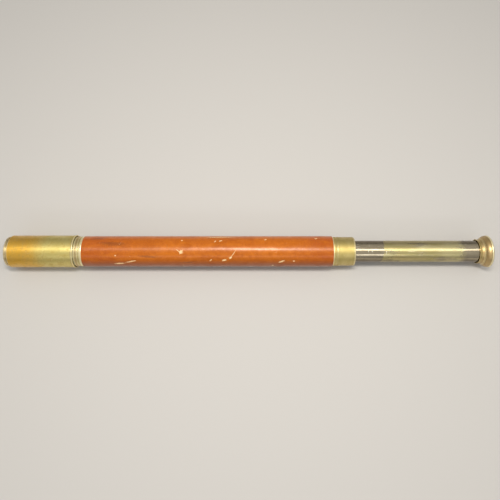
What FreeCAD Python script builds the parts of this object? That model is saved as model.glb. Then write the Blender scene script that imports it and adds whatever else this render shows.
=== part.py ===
import FreeCAD, Part
import Sketcher
import math
import os

# Single-draw brass telescope with a leather-covered barrel, as a parametric FreeCAD document.
#
# Lengths are in millimetres. The telescope lies on its side: the optical axis runs along X, the objective
# looks towards -X and the eye goes at +X. Z is up, and the origin is on the surface it lies on, under the
# middle of its length. The sheet "dims" holds the driving dimensions. The sheet "places" works out every
# radius and station from them. Stations of the barrel and sunshade are counted from the front end of the
# body tube, and those of the draw from the front of the eyepiece's lip.

DRIVING_DIMENSIONS = [
    # objective
    ("glass_dia", 38.4, "diameter of the objective's two glasses"),
    ("crown_thickness", 5.0, "crown glass, at its middle"),
    ("flint_thickness", 2.3, "flint glass, at its middle"),
    ("objective_radius", 166.0, "radius of the objective's curved surfaces"),
    ("air_gap", 0.1, "between crown and flint, at the middle"),
    ("cell_wall", 1.9, "around the glasses"),
    ("cell_ledge_width", 0.9, "radial width of the ledge behind the flint"),
    ("cell_ledge", 1.2, "thickness of that ledge"),
    ("cell_lip", 1.3, "cell that stands in front of the retaining ring"),
    ("cell_spigot_wall", 1.15, "spigot that screws into the body tube"),
    ("cell_spigot_length", 9.0, ""),
    ("cell_head_length", 2.8, "head ring in front of the finger groove"),
    ("cell_groove_width", 2.3, "finger groove behind the head ring"),
    ("cell_groove_depth", 0.9, ""),
    ("objective_ring_length", 2.2, "ring that holds the glasses in"),
    ("objective_ring_wall", 0.8, ""),
    # barrel
    ("body_tube_length", 453.0, ""),
    ("body_tube_wall", 0.8, ""),
    ("leather_thickness", 1.6, ""),
    ("front_collar_length", 11.5, ""),
    ("front_collar_wall", 0.75, ""),
    ("front_collar_land", 1.1, "plain land that the sunshade stops against"),
    ("front_bead_width", 2.0, ""),
    ("front_bead_rise", 0.65, ""),
    ("rear_bead_width", 2.5, "bead against the leather"),
    ("rear_bead_rise", 0.35, ""),
    ("collar_screw_count", 3, ""),
    ("collar_screw_dia", 1.4, ""),
    ("collar_screw_head_dia", 2.4, ""),
    ("collar_screw_head_height", 0.5, ""),
    ("collar_screw_length", 1.9, "from the top of the head"),
    ("collar_screw_slot_width", 0.35, ""),
    ("collar_screw_slot_depth", 0.25, ""),
    ("rear_collar_length", 29.0, ""),
    ("rear_collar_rise", 0.15, "outside of the collar over the outside of the body tube"),
    ("rear_collar_spigot_length", 12.0, ""),
    ("rear_collar_spigot_wall", 1.1, ""),
    ("rear_collar_web", 8.0, "thickness of the web that carries the guide sleeve"),
    ("rear_collar_land", 1.8, "plain land next to the leather"),
    ("collar_bead_width", 2.9, ""),
    ("collar_bead_rise", 0.4, ""),
    ("collar_groove_width", 1.1, ""),
    ("collar_groove_depth", 0.35, ""),
    ("collar_groove_spacing", 0.4, "from the bead to the groove"),
    ("collar_ridge_width", 2.6, ""),
    ("collar_ridge_rise", 0.2, ""),
    ("guide_length", 55.0, "guide sleeve with its flange"),
    ("guide_wall", 1.35, ""),
    ("guide_flange_thickness", 2.2, ""),
    ("guide_flange_inset", 0.25, "flange under the collar's outside"),
    ("guide_slot_length", 32.0, ""),
    ("guide_slot_width", 1.0, ""),
    ("guide_slot_count", 4, ""),
    ("baffle_clearance", 14.0, "from the closed draw's inner end to the baffle"),
    ("baffle_length", 7.0, ""),
    ("baffle_wall", 0.7, ""),
    ("baffle_depth", 6.6, "radial width of the baffle's web"),
    # sunshade
    ("shade_length", 90.2, "shade tube without its rear ring"),
    ("shade_wall", 1.1, ""),
    ("shade_setback", 4.9, "from the front of the cell to the front of the closed shade"),
    ("shade_ring_width", 2.1, ""),
    ("shade_ring_rise", 0.5, "bead over the outside of the shade"),
    ("shade_ring_spigot", 3.0, "length of the ring's spigot inside the shade"),
    ("lining_length", 20.0, "felt inside the shade"),
    # draw
    ("draw_out", 176.0, "from the guide's flange to the eyepiece's lip, as it lies"),
    ("draw_annulus", 4.25, "from the bore of the body tube to the outside of the draw tube"),
    ("draw_spare", 10.5, "pull left before the stop ring meets the guide sleeve"),
    ("draw_tube_wall", 0.75, ""),
    ("stop_ring_length", 10.0, "ring on the draw's inner end"),
    ("mount_ring_length", 8.0, "ring that carries the erector tube"),
    ("erector_annulus", 3.0, "from the bore of the draw tube to the outside of the erector tube"),
    ("erector_tube_length", 118.0, ""),
    ("erector_tube_wall", 0.7, ""),
    ("erector_stop_thickness", 0.8, ""),
    ("erector_stop_hole_dia", 5.0, ""),
    ("erector_stop_wall", 0.6, ""),
    ("erector_stop_length", 4.0, ""),
    # eyepiece
    ("eyepiece_tube_length", 61.0, ""),
    ("eyepiece_tube_wall", 0.7, ""),
    ("bell_spigot_length", 8.0, "spigot that screws into the draw tube"),
    ("bell_spigot_wall", 1.85, ""),
    ("bell_socket_depth", 5.0, "from the lip to the shoulder that the draw tube stops against"),
    ("skirt_gap", 0.9, "radial space between the draw tube and the bell's skirt"),
    ("skirt_wall", 0.8, ""),
    ("lip_bead_width", 1.5, ""),
    ("lip_bead_rise", 0.4, ""),
    ("cove_length", 6.0, "hollow part of the flare"),
    ("cove_rise", 2.05, ""),
    ("cove_hollow", 0.85, "depth of that hollow below its chord"),
    ("flare_groove_width", 0.8, ""),
    ("flare_groove_depth", 0.35, ""),
    ("shoulder_length", 5.2, "rounded part of the flare"),
    ("shoulder_rise", 3.2, ""),
    ("shoulder_bulge", 0.6, ""),
    ("rim_land_length", 1.3, ""),
    ("rim_bead_width", 2.4, ""),
    ("rim_bead_rise", 0.5, ""),
    ("rim_wall", 0.9, ""),
    ("dish_hollow", 1.3, "depth of the eye side's dish below its chord"),
    ("bell_web", 2.4, "web between the eyepiece tube and the eye cap"),
    ("bell_web_hole_inset", 3.0, ""),
    ("eye_cap_thickness", 2.0, ""),
    ("eye_cap_inset", 0.6, "radial, from the bore for the eyepiece tube to the eye cap's seat"),
    ("eye_hole_dia", 8.0, ""),
    ("eye_hole_land", 0.7, "straight part of the hole"),
    ("eye_hole_flare", 2.6, "radial width of the cone on the eye side of the hole"),
    ("field_stop_place", 27.0, "from the eyepiece tube's inner end"),
    ("field_stop_length", 5.0, ""),
    ("field_stop_thickness", 0.8, ""),
    ("field_stop_depth", 3.4, "radial"),
    # the four small lenses and their cells
    ("small_cell_wall", 1.0, ""),
    ("small_cell_ledge", 1.0, ""),
    ("small_cell_ledge_width", 0.8, ""),
    ("small_lens_edge", 1.6, "thickness of each small lens at its edge"),
    ("small_ring_wall", 0.7, ""),
    ("small_ring_length", 1.3, ""),
    ("small_cell_lip", 0.3, ""),
    ("erector_lens_radius", 19.0, "radius of the curved side of both erector lenses"),
    ("field_lens_radius", 21.0, ""),
    ("eye_lens_radius", 16.0, ""),
    ("eye_cell_extra_wall", 3.2, "the eye lens is smaller than the field lens by twice this"),
    # fits
    ("seat_gap", 0.05, "between pieces that are fixed to each other"),
    ("run_gap", 0.04, "radial, between the draw tube and its guide sleeve"),
    ("shade_gap", 0.12, "radial, between the shade's ring or lining and the body tube"),
    ("shade_bore_gap", 0.45, "radial, between the cell and the inside of the shade"),
    ("stop_gap", 0.3, "left at each end of a slide's travel, and around the stop ring"),
    ("edge_round", 0.35, "small rounding of turned edges"),
    ("end_round", 0.9, "larger rounding of the flange and the rim"),
]

LENS_GROUPS = [
    # name, bore that the cell sits in, driving radius of the curved side, extra wall of the cell
    ("erector_front", "erector_bore_r", "erector_lens_radius", "0"),
    ("erector_rear", "erector_bore_r", "erector_lens_radius", "0"),
    ("field", "eyepiece_bore_r", "field_lens_radius", "0"),
    ("eye", "eyepiece_bore_r", "eye_lens_radius", "dims.eye_cell_extra_wall"),
]

doc = FreeCAD.newDocument("telescope")
dims = doc.addObject("Spreadsheet::Sheet", "dims")
for row, (alias, size, note) in enumerate(DRIVING_DIMENSIONS, start=1):
    dims.set(f"A{row}", alias)
    dims.set(f"B{row}", str(size))
    dims.set(f"C{row}", note)
    dims.setAlias(f"B{row}", alias)
doc.recompute()

places = doc.addObject("Spreadsheet::Sheet", "places")
place_names = []
sub_parts = []


def place(alias, formula):
    """Adds a cell to the sheet of worked-out radii and stations."""
    place_names.append(alias)
    row = len(place_names)
    places.set(f"A{row}", alias)
    places.set(f"B{row}", "=" + formula)
    places.setAlias(f"B{row}", alias)
    doc.recompute()


def size_of(expression):
    """The value of an expression over the two sheets."""
    return float(places.evalExpression(expression))


def sagitta(radius, half_width):
    """Expression for how far a curved surface falls back at half_width from its middle."""
    return f"({radius} - sqrt(({radius})^2 - ({half_width})^2))"


def arc_radius(run, climb, rise):
    """Expression for the radius of an arc that spans run and climb and stands rise above its chord."""
    return f"((({run})^2 + ({climb})^2) / 4 + ({rise})^2) / (2 * ({rise}))"


def work_out_radii():
    place("glass_r", "dims.glass_dia / 2")
    place("chamber_r", "places.glass_r + dims.seat_gap")
    place("cell_r", "places.chamber_r + dims.cell_wall")
    place("aperture_r", "places.glass_r - dims.cell_ledge_width")
    place("cell_spigot_r", "places.aperture_r + dims.cell_spigot_wall")
    place("tube_bore_r", "places.cell_spigot_r + dims.seat_gap")
    place("tube_r", "places.tube_bore_r + dims.body_tube_wall")
    place("cover_r", "places.tube_r + dims.seat_gap")
    place("leather_r", "places.cover_r + dims.leather_thickness")
    place("front_collar_r", "places.cover_r + dims.front_collar_wall")
    place("shade_bore_r", "places.cell_r + dims.shade_bore_gap")
    place("shade_r", "places.shade_bore_r + dims.shade_wall")
    place("shade_ring_r", "places.shade_r + dims.shade_ring_rise")
    place("shade_run_r", "places.tube_r + dims.shade_gap")
    place("rear_collar_r", "places.tube_r + dims.rear_collar_rise")
    place("rear_spigot_r", "places.tube_bore_r - dims.seat_gap")
    place("rear_collar_bore_r", "places.rear_spigot_r - dims.rear_collar_spigot_wall")
    place("draw_r", "places.tube_bore_r - dims.draw_annulus")
    place("draw_bore_r", "places.draw_r - dims.draw_tube_wall")
    place("guide_bore_r", "places.draw_r + dims.run_gap")
    place("guide_r", "places.guide_bore_r + dims.guide_wall")
    place("guide_flange_r", "places.rear_collar_r - dims.guide_flange_inset")
    place("stop_ring_r", "places.tube_bore_r - dims.stop_gap")
    place("erector_r", "places.draw_bore_r - dims.erector_annulus")
    place("erector_bore_r", "places.erector_r - dims.erector_tube_wall")
    place("bell_spigot_r", "places.draw_bore_r - dims.seat_gap")
    place("bell_bore_r", "places.bell_spigot_r - dims.bell_spigot_wall")
    place("eyepiece_r", "places.bell_bore_r - dims.seat_gap")
    place("eyepiece_bore_r", "places.eyepiece_r - dims.eyepiece_tube_wall")
    place("skirt_bore_r", "places.draw_r + dims.skirt_gap")
    place("skirt_r", "places.skirt_bore_r + dims.skirt_wall")
    place("groove_r", "places.skirt_r + dims.cove_rise")
    place("rim_land_r", "places.groove_r + dims.shoulder_rise")
    place("rim_r", "places.rim_land_r + dims.rim_bead_rise")
    place("eye_cap_seat_r", "places.bell_bore_r - dims.eye_cap_inset")
    place("bell_web_hole_r", "places.bell_bore_r - dims.bell_web_hole_inset")


def work_out_barrel_stations():
    place("flint_back_x", "-dims.cell_ledge - dims.seat_gap")
    place("flint_middle_x", "places.flint_back_x - dims.flint_thickness")
    place("glass_sag", sagitta("dims.objective_radius", "places.glass_r"))
    place("flint_edge_x", "places.flint_middle_x - places.glass_sag")
    place("crown_back_x", "places.flint_middle_x - dims.air_gap")
    place("crown_back_edge_x", "places.crown_back_x - places.glass_sag")
    place("crown_front_x", "places.crown_back_x - dims.crown_thickness")
    place("crown_front_edge_x", "places.crown_front_x + places.glass_sag")
    place("objective_ring_bore_r", "places.glass_r - dims.objective_ring_wall")
    ring_touch = sagitta("dims.objective_radius", "places.objective_ring_bore_r")
    place("objective_ring_back_x", f"places.crown_front_x + {ring_touch} - dims.seat_gap")
    place("objective_ring_front_x", "places.objective_ring_back_x - dims.objective_ring_length")
    place("cell_front_x", "places.objective_ring_front_x - dims.cell_lip")
    place("shade_front_x", "places.cell_front_x + dims.shade_setback")
    place("shade_back_x", "places.shade_front_x + dims.shade_length")
    place("shade_ring_back_x", "places.shade_back_x + dims.shade_ring_width")
    place("front_collar_x", "places.shade_ring_back_x + dims.stop_gap")
    place("leather_front_x", "places.front_collar_x + dims.front_collar_length")
    place("rear_collar_x", "dims.body_tube_length + dims.seat_gap")
    place("guide_flange_x", "places.rear_collar_x + dims.rear_collar_length + dims.seat_gap")
    place("barrel_back_x", "places.guide_flange_x + dims.guide_flange_thickness")
    place("guide_front_x", "places.barrel_back_x - dims.guide_length")
    place("collar_screw_x", "places.front_collar_x + dims.front_collar_land + dims.front_bead_width + "
          "(dims.front_collar_length - dims.front_collar_land - dims.front_bead_width - dims.rear_bead_width) / 2")


def work_out_draw_stations():
    place("stop_ring_back_x", "-(dims.draw_out + dims.guide_length + dims.draw_spare)")
    place("draw_front_x", "places.stop_ring_back_x - dims.stop_ring_length")
    place("cove_x", "dims.lip_bead_width")
    place("flare_groove_x", "places.cove_x + dims.cove_length")
    place("shoulder_x", "places.flare_groove_x + dims.flare_groove_width")
    place("rim_land_x", "places.shoulder_x + dims.shoulder_length")
    place("rim_bead_x", "places.rim_land_x + dims.rim_land_length")
    place("bell_back_x", "places.rim_bead_x + dims.rim_bead_width")
    place("bell_web_back_x", "dims.bell_socket_depth + dims.bell_web")
    place("eye_cap_back_x", "places.bell_web_back_x + dims.seat_gap + dims.eye_cap_thickness")
    place("eyepiece_back_x", "dims.bell_socket_depth - dims.seat_gap")
    place("eyepiece_front_x", "places.eyepiece_back_x - dims.eyepiece_tube_length")
    place("erector_back_x", "places.draw_front_x + dims.erector_tube_length")


def work_out_lens_groups():
    """Each small lens has its flat side on a ledge in its cell. Stations are depths from the cell's ledge face."""
    for group, bore, radius, extra_wall in LENS_GROUPS:
        place(f"{group}_cell_r", f"places.{bore} - dims.seat_gap")
        place(f"{group}_chamber_r", f"places.{group}_cell_r - dims.small_cell_wall - {extra_wall}")
        place(f"{group}_lens_r", f"places.{group}_chamber_r - dims.seat_gap")
        place(f"{group}_ring_bore_r", f"places.{group}_lens_r - dims.small_ring_wall")
        place(f"{group}_seat", "dims.small_cell_ledge + dims.seat_gap")
        place(f"{group}_edge", f"places.{group}_seat + dims.small_lens_edge")
        place(f"{group}_middle", f"places.{group}_edge + " + sagitta(f"dims.{radius}", f"places.{group}_lens_r"))
        ring_touch = sagitta(f"dims.{radius}", f"places.{group}_ring_bore_r")
        place(f"{group}_ring", f"places.{group}_middle - {ring_touch} + dims.seat_gap")
        place(f"{group}_depth", f"places.{group}_ring + dims.small_ring_length + dims.small_cell_lip")


def work_out_assembly():
    place("lip_x", "places.barrel_back_x + dims.draw_out")
    place("axis_height", "max(places.shade_ring_r; places.rim_r)")
    place("origin_x", "-(places.cell_front_x + places.lip_x + places.bell_back_x) / 2")
    place("closed_draw_x", "places.barrel_back_x + places.draw_front_x")
    place("baffle_x", "places.closed_draw_x - dims.baffle_clearance - dims.baffle_length")
    place("shade_travel", "places.shade_back_x - dims.shade_ring_spigot - dims.lining_length - dims.stop_gap")
    place("draw_travel_in", "dims.draw_out - dims.stop_gap")
    place("draw_travel_out", "dims.draw_spare - dims.stop_gap")


def plane_of(body, role):
    """One of a body's own origin planes or axes."""
    return next(feature for feature in body.Origin.OriginFeatures if feature.Role == role)


def put_in_place(piece, rides_on):
    """Binds a sub-part's Placement: the barrel's and shade's stations share one datum, the draw's another."""
    datum = {"barrel": "places.origin_x", "draw": "places.origin_x + places.lip_x"}[rides_on]
    piece.setExpression("Placement.Base.x", datum)
    piece.setExpression("Placement.Base.z", "places.axis_height")


def arc_between(start, end, radius, turn):
    """Sketch arc from start to end that turns left or right; the short way round."""
    chord = end.sub(start)
    half = chord.Length / 2
    height = math.sqrt(max(radius * radius - half * half, 0))
    left = FreeCAD.Vector(-chord.y, chord.x, 0).normalize()
    side = 1 if turn == "left" else -1
    centre = start.add(end).multiply(0.5).add(left.multiply(side * height))
    first, last = (start, end) if turn == "left" else (end, start)
    first_angle = math.atan2(first.y - centre.y, first.x - centre.x)
    last_angle = math.atan2(last.y - centre.y, last.x - centre.x)
    if last_angle < first_angle:
        last_angle += 2 * math.pi
    circle = Part.Circle(centre, FreeCAD.Vector(0, 0, 1), radius)
    return Part.ArcOfCircle(circle, first_angle, last_angle)


def draw_outline(sketch, corners):
    """Closed outline. A corner is (x, r), or (x, r, radius, turn) where an arc leads to the next corner."""
    points = [FreeCAD.Vector(size_of(corner[0]), size_of(corner[1]), 0) for corner in corners]
    first_end, last_end = [], []
    for i, corner in enumerate(corners):
        start, end = points[i], points[(i + 1) % len(points)]
        if len(corner) == 2:
            sketch.addGeometry(Part.LineSegment(start, end), False)
            ends = (1, 2)
        else:
            sketch.addGeometry(arc_between(start, end, size_of(corner[2]), corner[3]), False)
            ends = (1, 2) if corner[3] == "left" else (2, 1)
        first_end.append(ends[0])
        last_end.append(ends[1])
    for i in range(len(corners)):
        after = (i + 1) % len(corners)
        sketch.addConstraint(Sketcher.Constraint("Coincident", i, last_end[i], after, first_end[after]))
    for i, corner in enumerate(corners):
        for kind, expression, size in (("DistanceX", corner[0], points[i].x), ("DistanceY", corner[1], points[i].y)):
            number = sketch.addConstraint(Sketcher.Constraint(kind, -1, 1, i, first_end[i], size))
            if expression != "0":
                sketch.setExpression(f"Constraints[{number}]", expression)
        if len(corner) == 4:
            number = sketch.addConstraint(Sketcher.Constraint("Radius", i, size_of(corner[2])))
            sketch.setExpression(f"Constraints[{number}]", corner[2])


def turned(name, rides_on, corners):
    """A piece turned on a lathe: its outline in the XY plane, revolved about X."""
    body = doc.addObject("PartDesign::Body", name)
    body.Label = name
    sketch = body.newObject("Sketcher::SketchObject", name + "_outline")
    sketch.AttachmentSupport = [(plane_of(body, "XY_Plane"), "")]
    sketch.MapMode = "FlatFace"
    draw_outline(sketch, corners)
    turning = body.newObject("PartDesign::Revolution", name + "_turning")
    turning.Profile = sketch
    turning.ReferenceAxis = (sketch, ["H_Axis"])
    turning.Angle = 360
    put_in_place(body, rides_on)
    doc.recompute()
    sub_parts.append(body)
    return body


def ring(name, rides_on, front, back, inside, outside):
    """A plain turned ring or tube."""
    return turned(name, rides_on, [(front, inside), (back, inside), (back, outside), (front, outside)])


def round_edges(body, radius, circles):
    """Rounds the circular edges that lie at the given (station, radius) pairs."""
    tip = body.Tip
    names = []
    for station, circle_radius in circles:
        x, r = size_of(station), size_of(circle_radius)
        for number, edge in enumerate(tip.Shape.Edges, start=1):
            curve = edge.Curve
            if isinstance(curve, Part.Circle) and abs(curve.Radius - r) < 1e-4 and abs(curve.Center.x - x) < 1e-4:
                names.append(f"Edge{number}")
    if len(names) < len(circles):
        raise RuntimeError(f"{body.Label}: an edge to round isn't there")
    fillet = body.newObject("PartDesign::Fillet", body.Name + "_rounding")
    fillet.Base = (tip, names)
    fillet.setExpression("Radius", radius)
    doc.recompute()
    body.Tip = fillet


def repeat_about_axis(body, feature, count):
    """Repeats a feature round the optical axis."""
    pattern = body.newObject("PartDesign::PolarPattern", feature.Name + "_pattern")
    pattern.Originals = [feature]
    pattern.Axis = (plane_of(body, "X_Axis"), [""])
    pattern.Angle = 360
    pattern.setExpression("Occurrences", count)
    body.Tip = pattern
    doc.recompute()


def screw_holes(body, name, surface, countersunk):
    """Radial screw holes, drilled from above at the collar screws' station."""
    sketch = body.newObject("Sketcher::SketchObject", name + "_place")
    sketch.AttachmentSupport = [(plane_of(body, "XY_Plane"), "")]
    sketch.MapMode = "FlatFace"
    sketch.setExpression("AttachmentOffset.Base.z", surface)
    across = size_of("places.collar_screw_x")
    hole_r = "dims.collar_screw_dia / 2 + dims.seat_gap"
    sketch.addGeometry(Part.Circle(FreeCAD.Vector(across, 0, 0), FreeCAD.Vector(0, 0, 1), size_of(hole_r)), False)
    sketch.addConstraint(Sketcher.Constraint("PointOnObject", 0, 3, -1))
    number = sketch.addConstraint(Sketcher.Constraint("DistanceX", -1, 1, 0, 3, across))
    sketch.setExpression(f"Constraints[{number}]", "places.collar_screw_x")
    number = sketch.addConstraint(Sketcher.Constraint("Radius", 0, size_of(hole_r)))
    sketch.setExpression(f"Constraints[{number}]", hole_r)
    doc.recompute()
    hole = body.newObject("PartDesign::Hole", name)
    hole.Profile = sketch
    doc.recompute()
    hole.DepthType = "Dimension"
    hole.DrillPoint = "Flat"
    hole.setExpression("Diameter", "dims.collar_screw_dia + 2 * dims.seat_gap")
    hole.setExpression("Depth", "dims.front_collar_wall + dims.body_tube_wall + 4 * dims.seat_gap")
    if countersunk:
        hole.HoleCutType = "Countersink"
        hole.setExpression("HoleCutDiameter", "dims.collar_screw_head_dia + 4 * dims.seat_gap")
        hole.HoleCutCountersinkAngle = 90
    doc.recompute()
    before = hole.BaseFeature.Shape.Volume
    if hole.Shape.Volume > before - 0.1:
        raise RuntimeError(f"{name} cut nothing")
    repeat_about_axis(body, hole, "dims.collar_screw_count")


def objective():
    """Cell, two glasses and the ring that holds them in."""
    head_back = "places.cell_front_x + dims.cell_head_length"
    groove_back = head_back + " + dims.cell_groove_width"
    groove_r = "places.cell_r - dims.cell_groove_depth"
    cell = turned("objective_cell", "barrel", [
        ("places.cell_front_x", "places.chamber_r"),
        ("-dims.cell_ledge", "places.chamber_r"),
        ("-dims.cell_ledge", "places.aperture_r"),
        ("dims.cell_spigot_length", "places.aperture_r"),
        ("dims.cell_spigot_length", "places.cell_spigot_r"),
        ("-dims.seat_gap", "places.cell_spigot_r"),
        ("-dims.seat_gap", "places.cell_r"),
        (groove_back, "places.cell_r"),
        (groove_back, groove_r),
        (head_back, groove_r),
        (head_back, "places.cell_r"),
        ("places.cell_front_x", "places.cell_r"),
    ])
    round_edges(cell, "dims.edge_round", [
        ("places.cell_front_x", "places.cell_r"),
        (head_back, "places.cell_r"),
        (groove_back, "places.cell_r"),
    ])
    turned("objective_flint_lens", "barrel", [
        ("places.flint_middle_x", "0"),
        ("places.flint_back_x", "0"),
        ("places.flint_back_x", "places.glass_r"),
        ("places.flint_edge_x", "places.glass_r", "dims.objective_radius", "right"),
    ])
    turned("objective_crown_lens", "barrel", [
        ("places.crown_front_x", "0"),
        ("places.crown_back_x", "0", "dims.objective_radius", "left"),
        ("places.crown_back_edge_x", "places.glass_r"),
        ("places.crown_front_edge_x", "places.glass_r", "dims.objective_radius", "left"),
    ])
    ring("objective_retaining_ring", "barrel", "places.objective_ring_front_x", "places.objective_ring_back_x",
         "places.objective_ring_bore_r", "places.glass_r")


def diaphragm(name, rides_on, front, outside, sizes):
    """A blackened ring whose web, at its front end, narrows the light path."""
    length, wall, web, hole_r = sizes
    web_back = f"{front} + {web}"
    back = f"{front} + {length}"
    turned(name, rides_on, [
        (front, hole_r),
        (web_back, hole_r),
        (web_back, f"{outside} - {wall}"),
        (back, f"{outside} - {wall}"),
        (back, outside),
        (front, outside),
    ])


def barrel():
    """Body tube, its leather, both collars, the sleeve that guides the draw, and a baffle."""
    tube = ring("body_tube", "barrel", "0", "dims.body_tube_length", "places.tube_bore_r", "places.tube_r")
    screw_holes(tube, "tube_screw_holes", "places.tube_r", False)
    leather_front = "places.leather_front_x + dims.seat_gap"
    leather_back = "dims.body_tube_length - dims.seat_gap"
    leather = ring("leather_cover", "barrel", leather_front, leather_back, "places.cover_r", "places.leather_r")
    round_edges(leather, "dims.edge_round", [
        (leather_front, "places.leather_r"),
        (leather_back, "places.leather_r"),
    ])
    front_collar()
    rear_collar()
    guide_sleeve()
    diaphragm("barrel_baffle", "barrel", "places.baffle_x", "places.rear_spigot_r", (
        "dims.baffle_length",
        "dims.baffle_wall",
        "dims.baffle_wall",
        "places.tube_bore_r - dims.baffle_depth",
    ))


def front_collar():
    """Beaded collar between the sunshade and the leather, held by three countersunk screws."""
    bead_front = "places.front_collar_x + dims.front_collar_land"
    bead_back = bead_front + " + dims.front_bead_width"
    rear_bead_front = "places.leather_front_x - dims.rear_bead_width"
    collar = turned("front_collar", "barrel", [
        ("places.front_collar_x", "places.cover_r"),
        ("places.leather_front_x", "places.cover_r"),
        ("places.leather_front_x", "places.front_collar_r",
         arc_radius("dims.rear_bead_width", "0", "dims.rear_bead_rise"), "left"),
        (rear_bead_front, "places.front_collar_r"),
        (bead_back, "places.front_collar_r",
         arc_radius("dims.front_bead_width", "0", "dims.front_bead_rise"), "left"),
        (bead_front, "places.front_collar_r"),
        ("places.front_collar_x", "places.front_collar_r"),
    ])
    screw_holes(collar, "collar_screw_holes", "places.front_collar_r", True)
    count = int(size_of("dims.collar_screw_count"))
    for number in range(count):
        collar_screw(f"collar_screw_{number + 1}", 360 * number / count)


def collar_screw(name, angle):
    """Countersunk screw, turned about its own axis; its stations are distances from the optical axis."""
    top = "places.front_collar_r"
    shank_top = "places.front_collar_r - dims.collar_screw_head_height"
    end = "places.front_collar_r - dims.collar_screw_length"
    screw = turned(name, "barrel", [
        (end, "0"),
        (top, "0"),
        (top, "dims.collar_screw_head_dia / 2"),
        (shank_top, "dims.collar_screw_dia / 2"),
        (end, "dims.collar_screw_dia / 2"),
    ])
    half_slot = "dims.collar_screw_slot_width / 2"
    cut_across(screw, name + "_slot", "places.front_collar_r - dims.collar_screw_slot_depth",
               "places.front_collar_r + dims.collar_screw_slot_depth", half_slot,
               "2 * dims.collar_screw_head_dia", "both ways")
    screw.setExpression("Placement.Base.x", "places.origin_x + places.collar_screw_x")
    upright = FreeCAD.Rotation(FreeCAD.Vector(0, 1, 0), -90)
    around = FreeCAD.Rotation(FreeCAD.Vector(1, 0, 0), angle)
    screw.Placement.Rotation = around.multiply(upright)


def cut_across(body, name, front, back, half_width, depth, direction):
    """Pocket with a rectangular outline in the XY plane, upwards from it or both ways."""
    sketch = body.newObject("Sketcher::SketchObject", name + "_outline")
    sketch.AttachmentSupport = [(plane_of(body, "XY_Plane"), "")]
    sketch.MapMode = "FlatFace"
    low = f"-({half_width})"
    draw_outline(sketch, [(front, low), (back, low), (back, half_width), (front, half_width)])
    pocket = body.newObject("PartDesign::Pocket", name)
    pocket.Profile = sketch
    pocket.Type = "Length"
    pocket.setExpression("Length", depth)
    if direction == "both ways":
        pocket.Midplane = True
    else:
        pocket.Reversed = True
    doc.recompute()
    if pocket.Shape.Volume > pocket.BaseFeature.Shape.Volume - 1e-3:
        raise RuntimeError(f"{name} cut nothing")
    body.Tip = pocket
    return pocket


def rear_collar():
    """Collar behind the leather: a spigot in the body tube, an open bore, and a web for the guide sleeve."""
    back = "places.rear_collar_x + dims.rear_collar_length"
    web_front = back + " - dims.rear_collar_web"
    spigot_front = "dims.body_tube_length - dims.rear_collar_spigot_length"
    web_bore_r = "places.guide_r + dims.seat_gap"
    bead_front = "places.rear_collar_x + dims.rear_collar_land"
    bead_back = bead_front + " + dims.collar_bead_width"
    groove_front = bead_back + " + dims.collar_groove_spacing"
    ridge_front = groove_front + " + dims.collar_groove_width"
    ridge_back = ridge_front + " + dims.collar_ridge_width"
    groove_r = "places.rear_collar_r - dims.collar_groove_depth"
    collar = turned("rear_collar", "barrel", [
        (spigot_front, "places.rear_collar_bore_r"),
        (web_front, "places.rear_collar_bore_r"),
        (web_front, web_bore_r),
        (back, web_bore_r),
        (back, "places.rear_collar_r"),
        (ridge_back, "places.rear_collar_r",
         arc_radius("dims.collar_ridge_width", "0", "dims.collar_ridge_rise"), "left"),
        (ridge_front, "places.rear_collar_r"),
        (ridge_front, groove_r),
        (groove_front, groove_r),
        (groove_front, "places.rear_collar_r"),
        (bead_back, "places.rear_collar_r",
         arc_radius("dims.collar_bead_width", "0", "dims.collar_bead_rise"), "left"),
        (bead_front, "places.rear_collar_r"),
        ("places.rear_collar_x", "places.rear_collar_r"),
        ("places.rear_collar_x", "places.rear_spigot_r"),
        (spigot_front, "places.rear_spigot_r"),
    ])
    round_edges(collar, "dims.edge_round", [(back, "places.rear_collar_r")])


def guide_sleeve():
    """Split sleeve that the draw slides in; its flange closes the barrel's rear end."""
    sleeve = turned("guide_sleeve", "barrel", [
        ("places.guide_front_x", "places.guide_bore_r"),
        ("places.barrel_back_x", "places.guide_bore_r"),
        ("places.barrel_back_x", "places.guide_flange_r"),
        ("places.guide_flange_x", "places.guide_flange_r"),
        ("places.guide_flange_x", "places.guide_r"),
        ("places.guide_front_x", "places.guide_r"),
    ])
    round_edges(sleeve, "dims.end_round", [("places.barrel_back_x", "places.guide_flange_r")])
    slot = cut_across(sleeve, "guide_slot", "places.guide_front_x - dims.guide_slot_width",
                      "places.guide_front_x + dims.guide_slot_length", "dims.guide_slot_width / 2",
                      "places.guide_flange_r", "upwards")
    repeat_about_axis(sleeve, slot, "dims.guide_slot_count")


def sunshade():
    """Sliding shade with a beaded ring and a felt lining that both run on the body tube."""
    inside = "places.shade_bore_r - dims.seat_gap"
    spigot_front = "places.shade_back_x - dims.shade_ring_spigot"
    lining_back = spigot_front + " - dims.seat_gap"
    shade = ring("shade_tube", "barrel", "places.shade_front_x", "places.shade_back_x",
                 "places.shade_bore_r", "places.shade_r")
    round_edges(shade, "dims.edge_round", [
        ("places.shade_front_x", "places.shade_r"),
        ("places.shade_front_x", "places.shade_bore_r"),
    ])
    turned("shade_ring", "barrel", [
        (spigot_front, "places.shade_run_r"),
        ("places.shade_ring_back_x", "places.shade_run_r"),
        ("places.shade_ring_back_x", "places.shade_r",
         arc_radius("dims.shade_ring_width - dims.seat_gap", "0", "dims.shade_ring_rise"), "left"),
        ("places.shade_back_x + dims.seat_gap", "places.shade_r"),
        ("places.shade_back_x + dims.seat_gap", inside),
        (spigot_front, inside),
    ])
    ring("shade_lining", "barrel", lining_back + " - dims.lining_length", lining_back,
         "places.shade_run_r", inside)


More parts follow.
